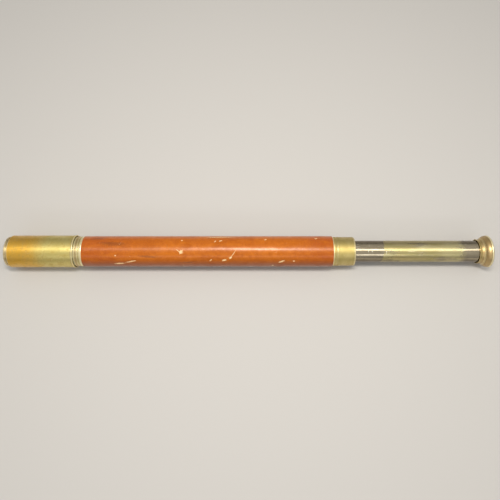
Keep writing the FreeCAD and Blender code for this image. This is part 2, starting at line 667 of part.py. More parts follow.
def draw():
    """Draw tube with the ring that stops it, and the tube that carries the erecting lenses."""
    ring("draw_tube", "draw", "places.draw_front_x", "dims.bell_socket_depth - dims.seat_gap",
         "places.draw_bore_r", "places.draw_r")
    stop = ring("draw_stop_ring", "draw", "places.draw_front_x", "places.stop_ring_back_x",
                "places.draw_r + dims.seat_gap", "places.stop_ring_r")
    round_edges(stop, "dims.edge_round", [
        ("places.draw_front_x", "places.stop_ring_r"),
        ("places.stop_ring_back_x", "places.stop_ring_r"),
    ])
    ring("erector_mount_ring", "draw", "places.draw_front_x", "places.draw_front_x + dims.mount_ring_length",
         "places.erector_r + dims.seat_gap", "places.bell_spigot_r")
    ring("erector_tube", "draw", "places.draw_front_x", "places.erector_back_x",
         "places.erector_bore_r", "places.erector_r")
    diaphragm("erector_stop", "draw", "(places.draw_front_x + places.erector_back_x) / 2",
              "places.erector_bore_r - dims.seat_gap", (
                  "dims.erector_stop_length",
                  "dims.erector_stop_wall",
                  "dims.erector_stop_thickness",
                  "dims.erector_stop_hole_dia / 2",
              ))
    lens_group("erector_front", "places.draw_front_x", "+")
    lens_group("erector_rear", "places.erector_back_x", "-")


def lens_group(group, ledge, way):
    """Cell, lens and retaining ring. The lens's flat side is on the ledge and its round side faces "way" along X."""
    def at(depth):
        return f"{ledge} {way} ({depth})"

    lens_r = f"places.{group}_lens_r"
    depth = f"places.{group}_depth"
    chamber_r = f"places.{group}_chamber_r"
    hole_r = lens_r + " - dims.small_cell_ledge_width"
    radius = next(row[2] for row in LENS_GROUPS if row[0] == group)
    turned(f"{group}_cell", "draw", [
        (at("0"), hole_r),
        (at("dims.small_cell_ledge"), hole_r),
        (at("dims.small_cell_ledge"), chamber_r),
        (at(depth), chamber_r),
        (at(depth), f"places.{group}_cell_r"),
        (at("0"), f"places.{group}_cell_r"),
    ])
    turned(f"{group}_lens", "draw", [
        (at(f"places.{group}_seat"), "0"),
        (at(f"places.{group}_middle"), "0", f"dims.{radius}", "left" if way == "+" else "right"),
        (at(f"places.{group}_edge"), lens_r),
        (at(f"places.{group}_seat"), lens_r),
    ])
    ring_front = at(f"places.{group}_ring")
    ring_back = at(f"places.{group}_ring + dims.small_ring_length")
    ring(f"{group}_lens_ring", "draw", ring_front, ring_back, f"places.{group}_ring_bore_r", lens_r)


def eyepiece():
    """Tube with the field lens and eye lens, the flared bell round it, and the cap that the eye looks through."""
    ring("eyepiece_tube", "draw", "places.eyepiece_front_x", "places.eyepiece_back_x",
         "places.eyepiece_bore_r", "places.eyepiece_r")
    lens_group("field", "places.eyepiece_front_x + places.field_depth", "-")
    lens_group("eye", "places.eyepiece_back_x", "-")
    diaphragm("field_stop", "draw", "places.eyepiece_front_x + dims.field_stop_place", "places.field_cell_r", (
        "dims.field_stop_length",
        "dims.field_stop_thickness",
        "dims.field_stop_thickness",
        "places.eyepiece_bore_r - dims.field_stop_depth",
    ))
    bell()
    cap_front = "places.bell_web_back_x + dims.seat_gap"
    cap_r = "places.eye_cap_seat_r - dims.seat_gap"
    turned("eye_cap", "draw", [
        (cap_front, "dims.eye_hole_dia / 2"),
        (cap_front + " + dims.eye_hole_land", "dims.eye_hole_dia / 2"),
        ("places.eye_cap_back_x", "dims.eye_hole_dia / 2 + dims.eye_hole_flare"),
        ("places.eye_cap_back_x", cap_r),
        (cap_front, cap_r),
    ])


def bell():
    """Flared eye end: a lip, a hollow curve, a groove, a round shoulder and a beaded rim, with a dished back."""
    spigot_front = "dims.bell_socket_depth - dims.bell_spigot_length"
    dish_edge_r = "places.rim_land_r - dims.rim_wall"
    groove_bottom_r = "places.groove_r - dims.flare_groove_depth"
    dish_radius = arc_radius("places.bell_back_x - places.eye_cap_back_x",
                             "places.rim_land_r - dims.rim_wall - places.eye_cap_seat_r", "dims.dish_hollow")
    rim_radius = arc_radius("dims.rim_bead_width", "0", "dims.rim_bead_rise")
    shoulder_radius = arc_radius("dims.shoulder_length", "dims.shoulder_rise", "dims.shoulder_bulge")
    cove_radius = arc_radius("dims.cove_length", "dims.cove_rise", "dims.cove_hollow")
    lip_radius = arc_radius("dims.lip_bead_width", "0", "dims.lip_bead_rise")
    flare = turned("eyepiece_bell", "draw", [
        (spigot_front, "places.bell_bore_r"),
        ("dims.bell_socket_depth", "places.bell_bore_r"),
        ("dims.bell_socket_depth", "places.bell_web_hole_r"),
        ("places.bell_web_back_x", "places.bell_web_hole_r"),
        ("places.bell_web_back_x", "places.eye_cap_seat_r"),
        ("places.eye_cap_back_x", "places.eye_cap_seat_r", dish_radius, "right"),
        ("places.bell_back_x", dish_edge_r),
        ("places.bell_back_x", "places.rim_land_r", rim_radius, "left"),
        ("places.rim_bead_x", "places.rim_land_r"),
        ("places.rim_land_x", "places.rim_land_r", shoulder_radius, "left"),
        ("places.shoulder_x", "places.groove_r"),
        ("places.shoulder_x", groove_bottom_r),
        ("places.flare_groove_x", groove_bottom_r),
        ("places.flare_groove_x", "places.groove_r", cove_radius, "right"),
        ("places.cove_x", "places.skirt_r", lip_radius, "left"),
        ("0", "places.skirt_r"),
        ("0", "places.skirt_bore_r"),
        ("dims.bell_socket_depth", "places.skirt_bore_r"),
        ("dims.bell_socket_depth", "places.bell_spigot_r"),
        (spigot_front, "places.bell_spigot_r"),
    ])
    round_edges(flare, "dims.edge_round", [("places.bell_back_x", dish_edge_r)])


def write_parts():
    """Checks every object and every sub-part's shape, then writes one STEP file for each sub-part."""
    for piece in doc.Objects:
        if "Invalid" in piece.State or "Error" in piece.State:
            raise RuntimeError(f"{piece.Name} failed: {piece.State}")
    for piece in sub_parts:
        shape = piece.Shape
        if shape.isNull() or not shape.isValid() or len(shape.Solids) != 1:
            raise RuntimeError(f"{piece.Label} isn't one valid solid")
    os.makedirs("parts", exist_ok=True)
    for piece in sub_parts:
        piece.Shape.exportStep(f"parts/{piece.Label}.step")


work_out_radii()
work_out_barrel_stations()
work_out_draw_stations()
work_out_lens_groups()
work_out_assembly()
objective()
barrel()
sunshade()
draw()
eyepiece()
doc.recompute()
write_parts()
for travel in ("shade_travel", "draw_travel_in", "draw_travel_out"):
    print(travel, round(size_of("places." + travel), 3))
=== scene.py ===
import math
import random

import bpy
import mathutils
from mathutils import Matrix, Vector


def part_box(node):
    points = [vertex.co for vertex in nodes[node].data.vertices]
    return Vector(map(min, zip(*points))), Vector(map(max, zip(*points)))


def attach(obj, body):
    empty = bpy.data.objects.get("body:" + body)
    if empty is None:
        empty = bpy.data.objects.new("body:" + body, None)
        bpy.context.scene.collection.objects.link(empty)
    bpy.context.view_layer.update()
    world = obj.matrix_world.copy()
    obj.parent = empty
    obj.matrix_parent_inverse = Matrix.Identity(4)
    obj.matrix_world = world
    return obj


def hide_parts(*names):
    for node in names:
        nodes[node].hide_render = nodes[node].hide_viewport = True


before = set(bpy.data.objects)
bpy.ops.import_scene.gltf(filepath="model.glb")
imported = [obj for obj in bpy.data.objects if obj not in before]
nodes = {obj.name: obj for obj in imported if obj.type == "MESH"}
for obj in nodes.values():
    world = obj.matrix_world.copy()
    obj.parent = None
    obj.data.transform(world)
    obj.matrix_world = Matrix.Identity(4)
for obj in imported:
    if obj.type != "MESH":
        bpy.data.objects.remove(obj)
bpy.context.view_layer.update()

mm = 0.001
shadeLow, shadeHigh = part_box("shade_tube")
leatherLow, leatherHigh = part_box("leather_cover")
bellLow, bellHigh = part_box("eyepiece_bell")
collarLow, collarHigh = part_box("front_collar")
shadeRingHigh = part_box("shade_ring")[1]
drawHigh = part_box("draw_tube")[1]
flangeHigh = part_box("guide_sleeve")[1]
axisHeight = (shadeLow.z + shadeHigh.z) / 2
leatherRadius = (leatherHigh.z - leatherLow.z) / 2 / mm
leatherLength = (leatherHigh.x - leatherLow.x) / mm
print("frame loaded, optical axis at", round(axisHeight / mm, 2), "mm")


# small helpers for shader trees

def put(tree, kind, inputs=None, **settings):
    node = tree.nodes.new("ShaderNode" + kind)
    for name, value in settings.items():
        setattr(node, name, value)
    for key, value in (inputs or {}).items():
        if isinstance(value, bpy.types.NodeSocket):
            tree.links.new(value, node.inputs[key])
        else:
            node.inputs[key].default_value = value
    return node


def calc(tree, operation, *values, clamp=False):
    return put(tree, "Math", dict(enumerate(values)), operation=operation, use_clamp=clamp).outputs[0]


def rise(tree, value, low, high):
    # 0 below low, 1 above high, smooth between
    inputs = {"Value": value, "From Min": low, "From Max": high, "To Min": 0.0, "To Max": 1.0}
    return put(tree, "MapRange", inputs, interpolation_type="SMOOTHSTEP").outputs["Result"]


def scaled(tree, value, low, high):
    inputs = {"Value": value, "From Min": 0.0, "From Max": 1.0, "To Min": low, "To Max": high}
    return put(tree, "MapRange", inputs).outputs["Result"]


def mixColour(tree, factor, a, b):
    return put(tree, "Mix", {0: factor, 6: a, 7: b}, data_type="RGBA").outputs[2]


def tinted(tree, colour, mask, depth, tone):
    # lays tone over colour where the mask is, as strongly as depth says
    return mixColour(tree, calc(tree, "MULTIPLY", mask, depth), colour, tone)


def raised(tree, value, mask, amount):
    # adds amount to value where the mask is
    return calc(tree, "ADD", value, calc(tree, "MULTIPLY", mask, amount))


def objectPoint(tree):
    return put(tree, "TexCoord").outputs["Object"]


def vectorTimes(tree, vector, factors):
    return put(tree, "VectorMath", {0: vector, 1: factors}, operation="MULTIPLY").outputs[0]


def noise(tree, vector, scale, detail=2.0, rough=0.5, seed=0.0, twist=0.0):
    inputs = {"Vector": vector, "W": seed, "Scale": scale, "Detail": detail, "Roughness": rough,
              "Distortion": twist}
    return put(tree, "TexNoise", inputs, noise_dimensions="4D").outputs["Fac"]


def newGroup(name, inputs, outputs):
    group = bpy.data.node_groups.new(name, "ShaderNodeTree")
    for label, kind, value in inputs:
        socket = group.interface.new_socket(name=label, in_out="INPUT", socket_type="NodeSocket" + kind)
        socket.default_value = value
    for label, kind in outputs:
        group.interface.new_socket(name=label, in_out="OUTPUT", socket_type="NodeSocket" + kind)
    return group, group.nodes.new("NodeGroupInput").outputs, group.nodes.new("NodeGroupOutput").inputs


def use(tree, group, **values):
    # places a shared effect, its named inputs written without their spaces
    node = tree.nodes.new("ShaderNodeGroup")
    node.node_tree = group
    for socket in node.inputs:
        key = socket.name.replace(" ", "")
        key = key[0].lower() + key[1:]
        if key in values and isinstance(values[key], bpy.types.NodeSocket):
            tree.links.new(values[key], socket)
        elif key in values:
            socket.default_value = values[key]
    return node.outputs


# effects that several finishes share

def buildTubePlace():
    # where a point is on the tubes: mm along the axis, mm out from it, and the turn from the top in degrees
    tree, _, out = newGroup("tubePlace", [], [("Along", "Float"), ("Out", "Float"), ("Turn", "Float")])
    point = objectPoint(tree)
    parts = put(tree, "SeparateXYZ", {0: point}).outputs
    upwards = calc(tree, "SUBTRACT", parts[2], axisHeight)
    squares = calc(tree, "ADD", calc(tree, "MULTIPLY", upwards, upwards),
                   calc(tree, "MULTIPLY", parts[1], parts[1]))
    tree.links.new(calc(tree, "MULTIPLY", parts[0], 1000.0), out["Along"])
    tree.links.new(calc(tree, "MULTIPLY", calc(tree, "SQRT", squares), 1000.0), out["Out"])
    turn = calc(tree, "ARCTAN2", parts[1], upwards)
    tree.links.new(calc(tree, "DEGREES", turn), out["Turn"])
    return tree


def buildTurningLines():
    # fine rings left by the lathe and the polishing cloth
    tree, given, out = newGroup("turningLines", [("Pitch", "Float", 0.25), ("Drift", "Float", 30.0)],
                                [("Line", "Float")])
    point = objectPoint(tree)
    across = calc(tree, "DIVIDE", 1000.0, given["Pitch"])
    factors = put(tree, "CombineXYZ", {0: across, 1: given["Drift"], 2: given["Drift"]}).outputs[0]
    rings = noise(tree, vectorTimes(tree, point, factors), 1.0, 3.0, 0.6)
    tree.links.new(rings, out["Line"])
    return tree


def buildBlotches():
    # clouded patches of tarnish, stain or wear; Stretch draws them out round or along the tube
    tree, given, out = newGroup("blotches", [
        ("Size", "Float", 8.0), ("Cover", "Float", 0.5), ("Soft", "Float", 0.15), ("Seed", "Float", 0.0),
        ("Stretch", "Vector", (1.0, 1.0, 1.0))], [("Mask", "Float")])
    point = objectPoint(tree)
    cloud = noise(tree, vectorTimes(tree, point, given["Stretch"]),
                  calc(tree, "DIVIDE", 1000.0, given["Size"]), 5.0, 0.62, given["Seed"], 0.4)
    edge = calc(tree, "SUBTRACT", 1.0, given["Cover"])
    low = calc(tree, "SUBTRACT", edge, given["Soft"])
    high = calc(tree, "ADD", edge, given["Soft"])
    tree.links.new(rise(tree, cloud, low, high), out["Mask"])
    return tree


def buildHairScratches():
    # thin stray scratches: the lines where a stretched cloud crosses its middle value
    tree, given, out = newGroup("hairScratches", [
        ("Size", "Float", 6.0), ("Width", "Float", 0.01), ("Amount", "Float", 0.4), ("Seed", "Float", 0.0),
        ("Stretch", "Vector", (1.0, 1.0, 1.0))], [("Mask", "Float")])
    point = objectPoint(tree)
    stretched = vectorTimes(tree, point, given["Stretch"])
    scale = calc(tree, "DIVIDE", 1000.0, given["Size"])
    cloud = noise(tree, stretched, scale, 1.0, 0.4, given["Seed"], 0.8)
    distance = calc(tree, "ABSOLUTE", calc(tree, "SUBTRACT", cloud, 0.5))
    line = calc(tree, "SUBTRACT", 1.0, rise(tree, distance, 0.0, given["Width"]))
    otherSeed = calc(tree, "ADD", given["Seed"], 9.0)
    broken = noise(tree, stretched, calc(tree, "MULTIPLY", scale, 1.7), 2.0, 0.5, otherSeed)
    shown = rise(tree, broken, calc(tree, "SUBTRACT", 1.0, given["Amount"]),
                 calc(tree, "SUBTRACT", 1.12, given["Amount"]))
    tree.links.new(calc(tree, "MULTIPLY", line, shown), out["Mask"])
    return tree


def buildCreaseDirtAndShade():
    # painted shade in grooves and corners, darkest where ambient occlusion finds them closed in, laid over
    # the wax and dust that stay there
    tree, given, out = newGroup("creaseDirt", [("Reach", "Float", 1.2), ("Amount", "Float", 1.0)],
                                [("Mask", "Float")])
    shade = put(tree, "AmbientOcclusion", {"Distance": calc(tree, "MULTIPLY", given["Reach"], mm)},
                samples=8, only_local=False).outputs["AO"]
    closed = rise(tree, calc(tree, "SUBTRACT", 1.0, shade), 0.35, 0.8)
    ragged = scaled(tree, noise(tree, objectPoint(tree), 900.0, 3.0), 0.55, 1.25)
    mask = calc(tree, "MULTIPLY", calc(tree, "MULTIPLY", closed, ragged), given["Amount"], clamp=True)
    tree.links.new(mask, out["Mask"])
    return tree


def buildWornEdge():
    # edges that handling keeps bright
    tree, given, out = newGroup("wornEdge", [("Reach", "Float", 0.4), ("Amount", "Float", 1.0)],
                                [("Mask", "Float")])
    rounded = put(tree, "Bevel", {"Radius": calc(tree, "MULTIPLY", given["Reach"], mm)}, samples=6).outputs[0]
    true = put(tree, "NewGeometry").outputs["Normal"]
    same = put(tree, "VectorMath", {0: rounded, 1: true}, operation="DOT_PRODUCT").outputs["Value"]
    bent = rise(tree, calc(tree, "SUBTRACT", 1.0, same), 0.01, 0.09)
    shade = put(tree, "AmbientOcclusion", {"Distance": 0.8 * mm}, samples=6).outputs["AO"]
    openness = rise(tree, shade, 0.55, 0.9)
    ragged = scaled(tree, noise(tree, objectPoint(tree), 700.0, 3.0), 0.4, 1.3)
    mask = calc(tree, "MULTIPLY", calc(tree, "MULTIPLY", bent, openness),
                calc(tree, "MULTIPLY", ragged, given["Amount"]))
    tree.links.new(calc(tree, "MINIMUM", mask, 1.0), out["Mask"])
    return tree


def buildStraightMark():
    # one scuff or scratch at a chosen place: Along and Turn of its middle, its size in mm, and its slant
    tree, given, out = newGroup("straightMark", [
        ("Place", "Vector", (0.0, 0.0, 0.0)), ("Middle Along", "Float", 0.0), ("Middle Turn", "Float", 0.0),
        ("Length", "Float", 4.0), ("Width", "Float", 2.0), ("Slant", "Float", 0.0), ("Ragged", "Float", 0.6),
        ("Cloud", "Float", 0.5)], [("Mask", "Float")])
    parts = put(tree, "SeparateXYZ", {0: given["Place"]}).outputs
    alongIt = calc(tree, "SUBTRACT", parts[0], given["Middle Along"])
    degreesOff = calc(tree, "SUBTRACT", parts[1], given["Middle Turn"])
    roundIt = calc(tree, "MULTIPLY", degreesOff, calc(tree, "MULTIPLY", parts[2], math.pi / 180))
    slant = calc(tree, "RADIANS", given["Slant"])
    sine, cosine = calc(tree, "SINE", slant), calc(tree, "COSINE", slant)
    u = calc(tree, "ADD", calc(tree, "MULTIPLY", alongIt, cosine), calc(tree, "MULTIPLY", roundIt, sine))
    v = calc(tree, "SUBTRACT", calc(tree, "MULTIPLY", roundIt, cosine), calc(tree, "MULTIPLY", alongIt, sine))
    u = calc(tree, "DIVIDE", u, calc(tree, "MULTIPLY", given["Length"], 0.5))
    v = calc(tree, "DIVIDE", v, calc(tree, "MULTIPLY", given["Width"], 0.5))
    reach = calc(tree, "SQRT", calc(tree, "ADD", calc(tree, "MULTIPLY", u, u), calc(tree, "MULTIPLY", v, v)))
    torn = calc(tree, "MULTIPLY", calc(tree, "SUBTRACT", given["Cloud"], 0.5),
                calc(tree, "MULTIPLY", given["Ragged"], 3.0))
    inward = calc(tree, "SUBTRACT", 1.0, calc(tree, "ADD", reach, torn))
    tree.links.new(rise(tree, inward, 0.0, 0.5), out["Mask"])
    return tree


def buildRingBand():
    # one ring round the tube, from Start to End in mm, and only from the radius Out From outwards
    tree, given, out = newGroup("ringBand", [
        ("Along", "Float", 0.0), ("Out", "Float", 0.0), ("Start", "Float", 0.0), ("End", "Float", 1.0),
        ("Strength", "Float", 1.0), ("Out From", "Float", 0.0)], [("Mask", "Float")])
    begun = rise(tree, given["Along"], calc(tree, "SUBTRACT", given["Start"], 0.25),
                 calc(tree, "ADD", given["Start"], 0.25))
    ended = rise(tree, given["Along"], calc(tree, "SUBTRACT", given["End"], 0.25),
                 calc(tree, "ADD", given["End"], 0.25))
    outer = rise(tree, given["Out"], calc(tree, "SUBTRACT", given["Out From"], 0.15),
                 calc(tree, "ADD", given["Out From"], 0.15))
    band = calc(tree, "MULTIPLY", begun, calc(tree, "SUBTRACT", 1.0, ended))
    band = calc(tree, "MULTIPLY", band, outer)
    tree.links.new(calc(tree, "MULTIPLY", band, given["Strength"]), out["Mask"])
    return tree


def buildBoreMask():
    # everything nearer to the axis than Radius
    tree, given, out = newGroup("boreMask", [("Out", "Float", 0.0), ("Radius", "Float", 10.0)],
                                [("Mask", "Float")])
    outside = rise(tree, given["Out"], calc(tree, "SUBTRACT", given["Radius"], 0.05), given["Radius"])
    tree.links.new(calc(tree, "SUBTRACT", 1.0, outside), out["Mask"])
    return tree


def buildSideShade():
    # painted shade on the sides and below, growing with the turn away from Middle: it begins Start degrees
    # from Middle, and is full at Full
    tree, given, out = newGroup("underside", [
        ("Turn", "Float", 0.0), ("Middle", "Float", 0.0), ("Start", "Float", 35.0), ("Full", "Float", 85.0),
        ("Wander", "Float", 0.0)], [("Mask", "Float")])
    leaning = calc(tree, "ABSOLUTE", calc(tree, "SUBTRACT", given["Turn"], given["Middle"]))
    reached = calc(tree, "ADD", leaning, given["Wander"])
    tree.links.new(rise(tree, reached, given["Start"], given["Full"]), out["Mask"])
    return tree


tubePlace = buildTubePlace()
turningLines = buildTurningLines()
blotches = buildBlotches()
hairScratches = buildHairScratches()
creaseDirt = buildCreaseDirtAndShade()
wornEdge = buildWornEdge()
straightMark = buildStraightMark()
ringBand = buildRingBand()
boreMask = buildBoreMask()
underside = buildSideShade()
print("shared effects built")


# finishes

def newMaterial(name):
    material = bpy.data.materials.new(name)
    material.use_nodes = True
    tree = material.node_tree
    return material, tree, tree.nodes["Principled BSDF"]


def giveFinish(material, *names):
    for name in names:
        nodes[name].material_slots[0].material = material


def bumped(tree, shader, height, distance, strength=1.0):
    bump = put(tree, "Bump", {"Height": height, "Distance": distance, "Strength": strength})
    tree.links.new(bump.outputs["Normal"], shader.inputs["Normal"])


def bandMask(tree, place, bands):
    # rings at chosen places: where each starts and ends in mm, its strength, and the radius it starts from
    total = 0.0
    for start, end, strength, outFrom in bands:
        ring = use(tree, ringBand, along=place["Along"], out=place["Out"], start=start, end=end,
                   strength=strength, outFrom=outFrom)["Mask"]
        total = calc(tree, "MAXIMUM", total, ring)
    return total


def markMask(tree, marks, place):
    # marks at chosen places: along in mm, turn, length, width, slant, raggedness
    cloud = noise(tree, objectPoint(tree), 900.0, 4.0, 0.65)
    total = 0.0
    for along, turn, length, width, slant, ragged in marks:
        mask = use(tree, straightMark, place=place, middleAlong=along, middleTurn=turn, length=length,
                   width=width, slant=slant, ragged=ragged, cloud=cloud)["Mask"]
        total = calc(tree, "MAXIMUM", total, mask)
    return total


def buildBrass(name, look):
    # aged brass: two tones in clouds, brown specks, painted shade with wax in the creases, bright edges,
    # painted highlight and shade bands, painted shade on the sides, black paint inside boreRadius
    material, tree, shader = newMaterial(name)
    place = use(tree, tubePlace)
    lines = use(tree, turningLines, pitch=look["linePitch"], drift=25.0)["Line"]
    clouds = use(tree, blotches, size=look["cloudSize"], cover=look["cloudCover"], soft=0.14,
                 seed=look["seed"])["Mask"]
    stains = use(tree, blotches, size=4.5, cover=look["stainCover"], soft=0.07, seed=look["seed"] + 3.0,
                 stretch=(0.8, 1.0, 1.0))["Mask"]
    specks = use(tree, blotches, size=1.1, cover=look["speckCover"], soft=0.03,
                 seed=look["seed"] + 5.0)["Mask"]
    # painted shade in grooves and corners, over wax and dust
    dirt = use(tree, creaseDirt, reach=look["creaseReach"], amount=look["creaseAmount"])["Mask"]
    edges = use(tree, wornEdge, reach=0.45, amount=look["edgeAmount"])["Mask"]
    hairs = use(tree, hairScratches, size=9.0, width=0.006, amount=0.5, seed=look["seed"] + 7.0,
                stretch=(1.0, 0.35, 0.35))["Mask"]
    colour = mixColour(tree, clouds, look["bright"], look["second"])
    if "frontTone" in look:
        wander = scaled(tree, noise(tree, objectPoint(tree), 45.0, 3.0), -16.0, 16.0)
        shifted = calc(tree, "ADD", place["Along"], wander)
        passed = rise(tree, shifted, look["frontEnd"] - 15.0, look["frontEnd"] + 15.0)
        front = calc(tree, "SUBTRACT", 1.0, passed)
        colour = tinted(tree, colour, front, 0.85, look["frontTone"])
    colour = tinted(tree, colour, stains, look["stainDepth"], look["stain"])
    colour = tinted(tree, colour, specks, 0.45, look["speck"])
    colour = mixColour(tree, scaled(tree, lines, 0.0, look["lineDepth"]), colour, look["line"])
    # painted shade on the sides and below, in the stain colour
    under = use(tree, underside, turn=place["Turn"], middle=-15.0, start=35.0, full=85.0)["Mask"]
    colour = tinted(tree, colour, under, look["under"], look["stain"])
    colour = tinted(tree, colour, hairs, 0.5, look["edge"])
    colour = mixColour(tree, edges, colour, look["edge"])
    # painted highlights on ridges and rims, in part rubbed wear, in the pale colour; painted shade in grooves
    # and hollows, in the brown colour
    rubbed = bandMask(tree, place, look.get("paleBands", []))
    shadedBands = bandMask(tree, place, look.get("brownBands", []))
    colour = tinted(tree, colour, shadedBands, 0.8, look["brown"])
    # painted shade in the creases, over wax and dust, in the near-black colour
    colour = mixColour(tree, dirt, colour, look["dirt"])
    tarnished = scaled(tree, calc(tree, "MAXIMUM", stains, specks), 1.0, 0.55)
    colour = tinted(tree, colour, rubbed, tarnished, look["pale"])
    worn = calc(tree, "MULTIPLY", clouds, look["roughSpread"])
    rough = calc(tree, "ADD", calc(tree, "ADD", look["rough"], worn), scaled(tree, lines, -0.05, 0.07))
    rough = raised(tree, rough, calc(tree, "MAXIMUM", stains, dirt), 0.16)
    rough = calc(tree, "SUBTRACT", rough, calc(tree, "MULTIPLY", edges, 0.12))
    metal = calc(tree, "SUBTRACT", 1.0, calc(tree, "MULTIPLY", calc(tree, "MAXIMUM", dirt, specks), 0.55))
    metal = calc(tree, "SUBTRACT", metal, calc(tree, "MULTIPLY", rubbed, 0.2), clamp=True)
    height = calc(tree, "SUBTRACT", calc(tree, "MULTIPLY", lines, look["lineRelief"]),
                  calc(tree, "MULTIPLY", hairs, 0.6))
    height = calc(tree, "SUBTRACT", height, calc(tree, "MULTIPLY", stains, 0.25))
    if "boreRadius" in look:
        inside = use(tree, boreMask, out=place["Out"], radius=look["boreRadius"])["Mask"]
        colour = mixColour(tree, inside, colour, look["bore"])
        rough = raised(tree, rough, inside, 0.3)
        metal = calc(tree, "MULTIPLY", metal, calc(tree, "SUBTRACT", 1.0, inside))
    tree.links.new(colour, shader.inputs["Base Color"])
    tree.links.new(rough, shader.inputs["Roughness"])
    tree.links.new(metal, shader.inputs["Metallic"])
    lacquer = scaled(tree, calc(tree, "MAXIMUM", clouds, dirt), look["lacquer"], 0.1)
    tree.links.new(lacquer, shader.inputs["Coat Weight"])
    shader.inputs["Coat Roughness"].default_value = 0.32
    bumped(tree, shader, height, 0.03 * mm, 0.7)
    return material


# the pale colour paints highlights on ridges and rims, the brown one paints shade in grooves, the near-black
# one paints shade in creases over wax and dust, and one depth sets the painted shade on the sides
brassLook = {
    "bright": (0.74, 0.58, 0.21, 1.0), "second": (0.60, 0.48, 0.16, 1.0),
    "stain": (0.46, 0.30, 0.10, 1.0), "stainCover": 0.36, "stainDepth": 0.35,
    "speck": (0.20, 0.12, 0.04, 1.0), "speckCover": 0.27,
    "edge": (0.93, 0.82, 0.52, 1.0), "edgeAmount": 1.0,
    "pale": (0.90, 0.80, 0.49, 1.0), "brown": (0.46, 0.29, 0.15, 1.0),
    "dirt": (0.055, 0.035, 0.015, 1.0), "creaseReach": 0.8, "creaseAmount": 0.7,
    "cloudSize": 22.0, "cloudCover": 0.52, "linePitch": 0.3, "lineDepth": 0.10, "lineRelief": 1.0,
    "rough": 0.36, "roughSpread": 0.08, "lacquer": 0.6, "seed": 1.0, "under": 0.3,
    "bore": (0.012, 0.011, 0.010, 1.0), "line": (0.16, 0.1, 0.035, 1.0),
}
shadeFront, shadeBack = shadeLow.x / mm, shadeRingHigh.x / mm
collarFront, collarBack = collarLow.x / mm, collarHigh.x / mm
bellFront, bellBack = bellLow.x / mm, bellHigh.x / mm
flangeBack, leatherBack = flangeHigh.x / mm, leatherHigh.x / mm
shadeBrass = buildBrass("shadeBrass", {
    **brassLook, "bright": (0.80, 0.68, 0.24, 1.0), "second": (0.70, 0.58, 0.19, 1.0),
    "frontTone": (0.84, 0.46, 0.045, 1.0), "frontEnd": shadeFront + 41.0, "boreRadius": 22.1, "seed": 11.0,
    "creaseReach": 0.4, "creaseAmount": 0.4, "stain": (0.60, 0.42, 0.11, 1.0), "stainCover": 0.44,
    "stainDepth": 0.38, "lineDepth": 0.16,
    # painted highlights on the bead and the front edge, painted shade just before the bead
    "paleBands": [(shadeBack - 2.0, shadeBack - 0.4, 0.8, 22.5),
                  (shadeFront - 1.0, shadeFront + 1.0, 0.5, 22.0)],
    "brownBands": [(shadeBack - 3.4, shadeBack - 2.3, 0.4, 22.0)]})
collarBrass = buildBrass("collarBrass", {
    **brassLook, "bright": (0.63, 0.51, 0.19, 1.0), "second": (0.54, 0.43, 0.15, 1.0), "boreRadius": 18.7,
    "seed": 23.0, "cloudSize": 15.0, "rough": 0.45,
    # painted highlights on the collar's front bead and on the flange
    "paleBands": [(leatherBack - 1.0, leatherBack + 1.3, 0.7, 20.0),
                  (flangeBack - 1.9, flangeBack + 1.0, 0.5, 18.8)]})
frontCollarBrass = buildBrass("frontCollarBrass", {
    **brassLook, "bright": (0.72, 0.60, 0.28, 1.0), "second": (0.60, 0.50, 0.21, 1.0), "seed": 31.0,
    "cloudSize": 9.0, "creaseReach": 0.4, "creaseAmount": 0.4,
    # painted highlights on the beads and on the ring next to the leather, painted shade between them
    "paleBands": [(collarFront - 1.0, collarFront + 2.2, 0.75, 19.0),
                  (collarFront + 5.0, collarFront + 6.2, 0.4, 19.0),
                  (collarBack - 3.0, collarBack + 1.0, 0.9, 19.0)],
    "brownBands": [(collarFront + 2.6, collarFront + 4.6, 0.6, 19.0)]})
cellBrass = buildBrass("cellBrass", {
    **brassLook, "bright": (0.84, 0.70, 0.40, 1.0), "second": (0.70, 0.56, 0.30, 1.0), "boreRadius": 19.4,
    "seed": 43.0, "rough": 0.28, "cloudSize": 8.0, "edgeAmount": 1.2})
tubeBrass = buildBrass("tubeBrass", {
    **brassLook, "bright": (0.78, 0.60, 0.24, 1.0), "second": (0.68, 0.52, 0.20, 1.0), "boreRadius": 19.9,
    "seed": 57.0, "rough": 0.24})
bellBrass = buildBrass("bellBrass", {
    **brassLook, "bright": (0.64, 0.49, 0.215, 1.0), "second": (0.54, 0.405, 0.165, 1.0),
    "stain": (0.34, 0.23, 0.09, 1.0), "stainCover": 0.38, "stainDepth": 0.4, "speckCover": 0.30,
    "edge": (0.95, 0.85, 0.58, 1.0), "edgeAmount": 1.3, "seed": 71.0, "rough": 0.38, "cloudSize": 7.0,
    "creaseReach": 0.5,
    # painted highlights on the lip, on a crest of the flare and on the rim; painted shade in the groove and
    # over the flare
    "paleBands": [(bellFront - 1.0, bellFront + 0.9, 0.85, 16.3),
                  (bellFront + 8.8, bellFront + 9.6, 0.4, 15.0),
                  (bellBack - 2.7, bellBack - 0.5, 1.0, 22.3)],
    "brownBands": [(bellFront + 7.4, bellFront + 8.3, 1.0, 15.0),
                   (bellFront + 11.0, bellBack - 2.9, 0.5, 18.0)]})
innerBrass = buildBrass("innerBrass", {
    **brassLook, "bright": (0.52, 0.40, 0.17, 1.0), "second": (0.40, 0.31, 0.12, 1.0), "seed": 83.0,
    "rough": 0.38})
giveFinish(shadeBrass, "shade_tube", "shade_ring")
giveFinish(collarBrass, "rear_collar", "guide_sleeve")
giveFinish(frontCollarBrass, "front_collar")
giveFinish(cellBrass, "objective_cell")
giveFinish(tubeBrass, "body_tube")
giveFinish(bellBrass, "eyepiece_bell", "eye_cap")
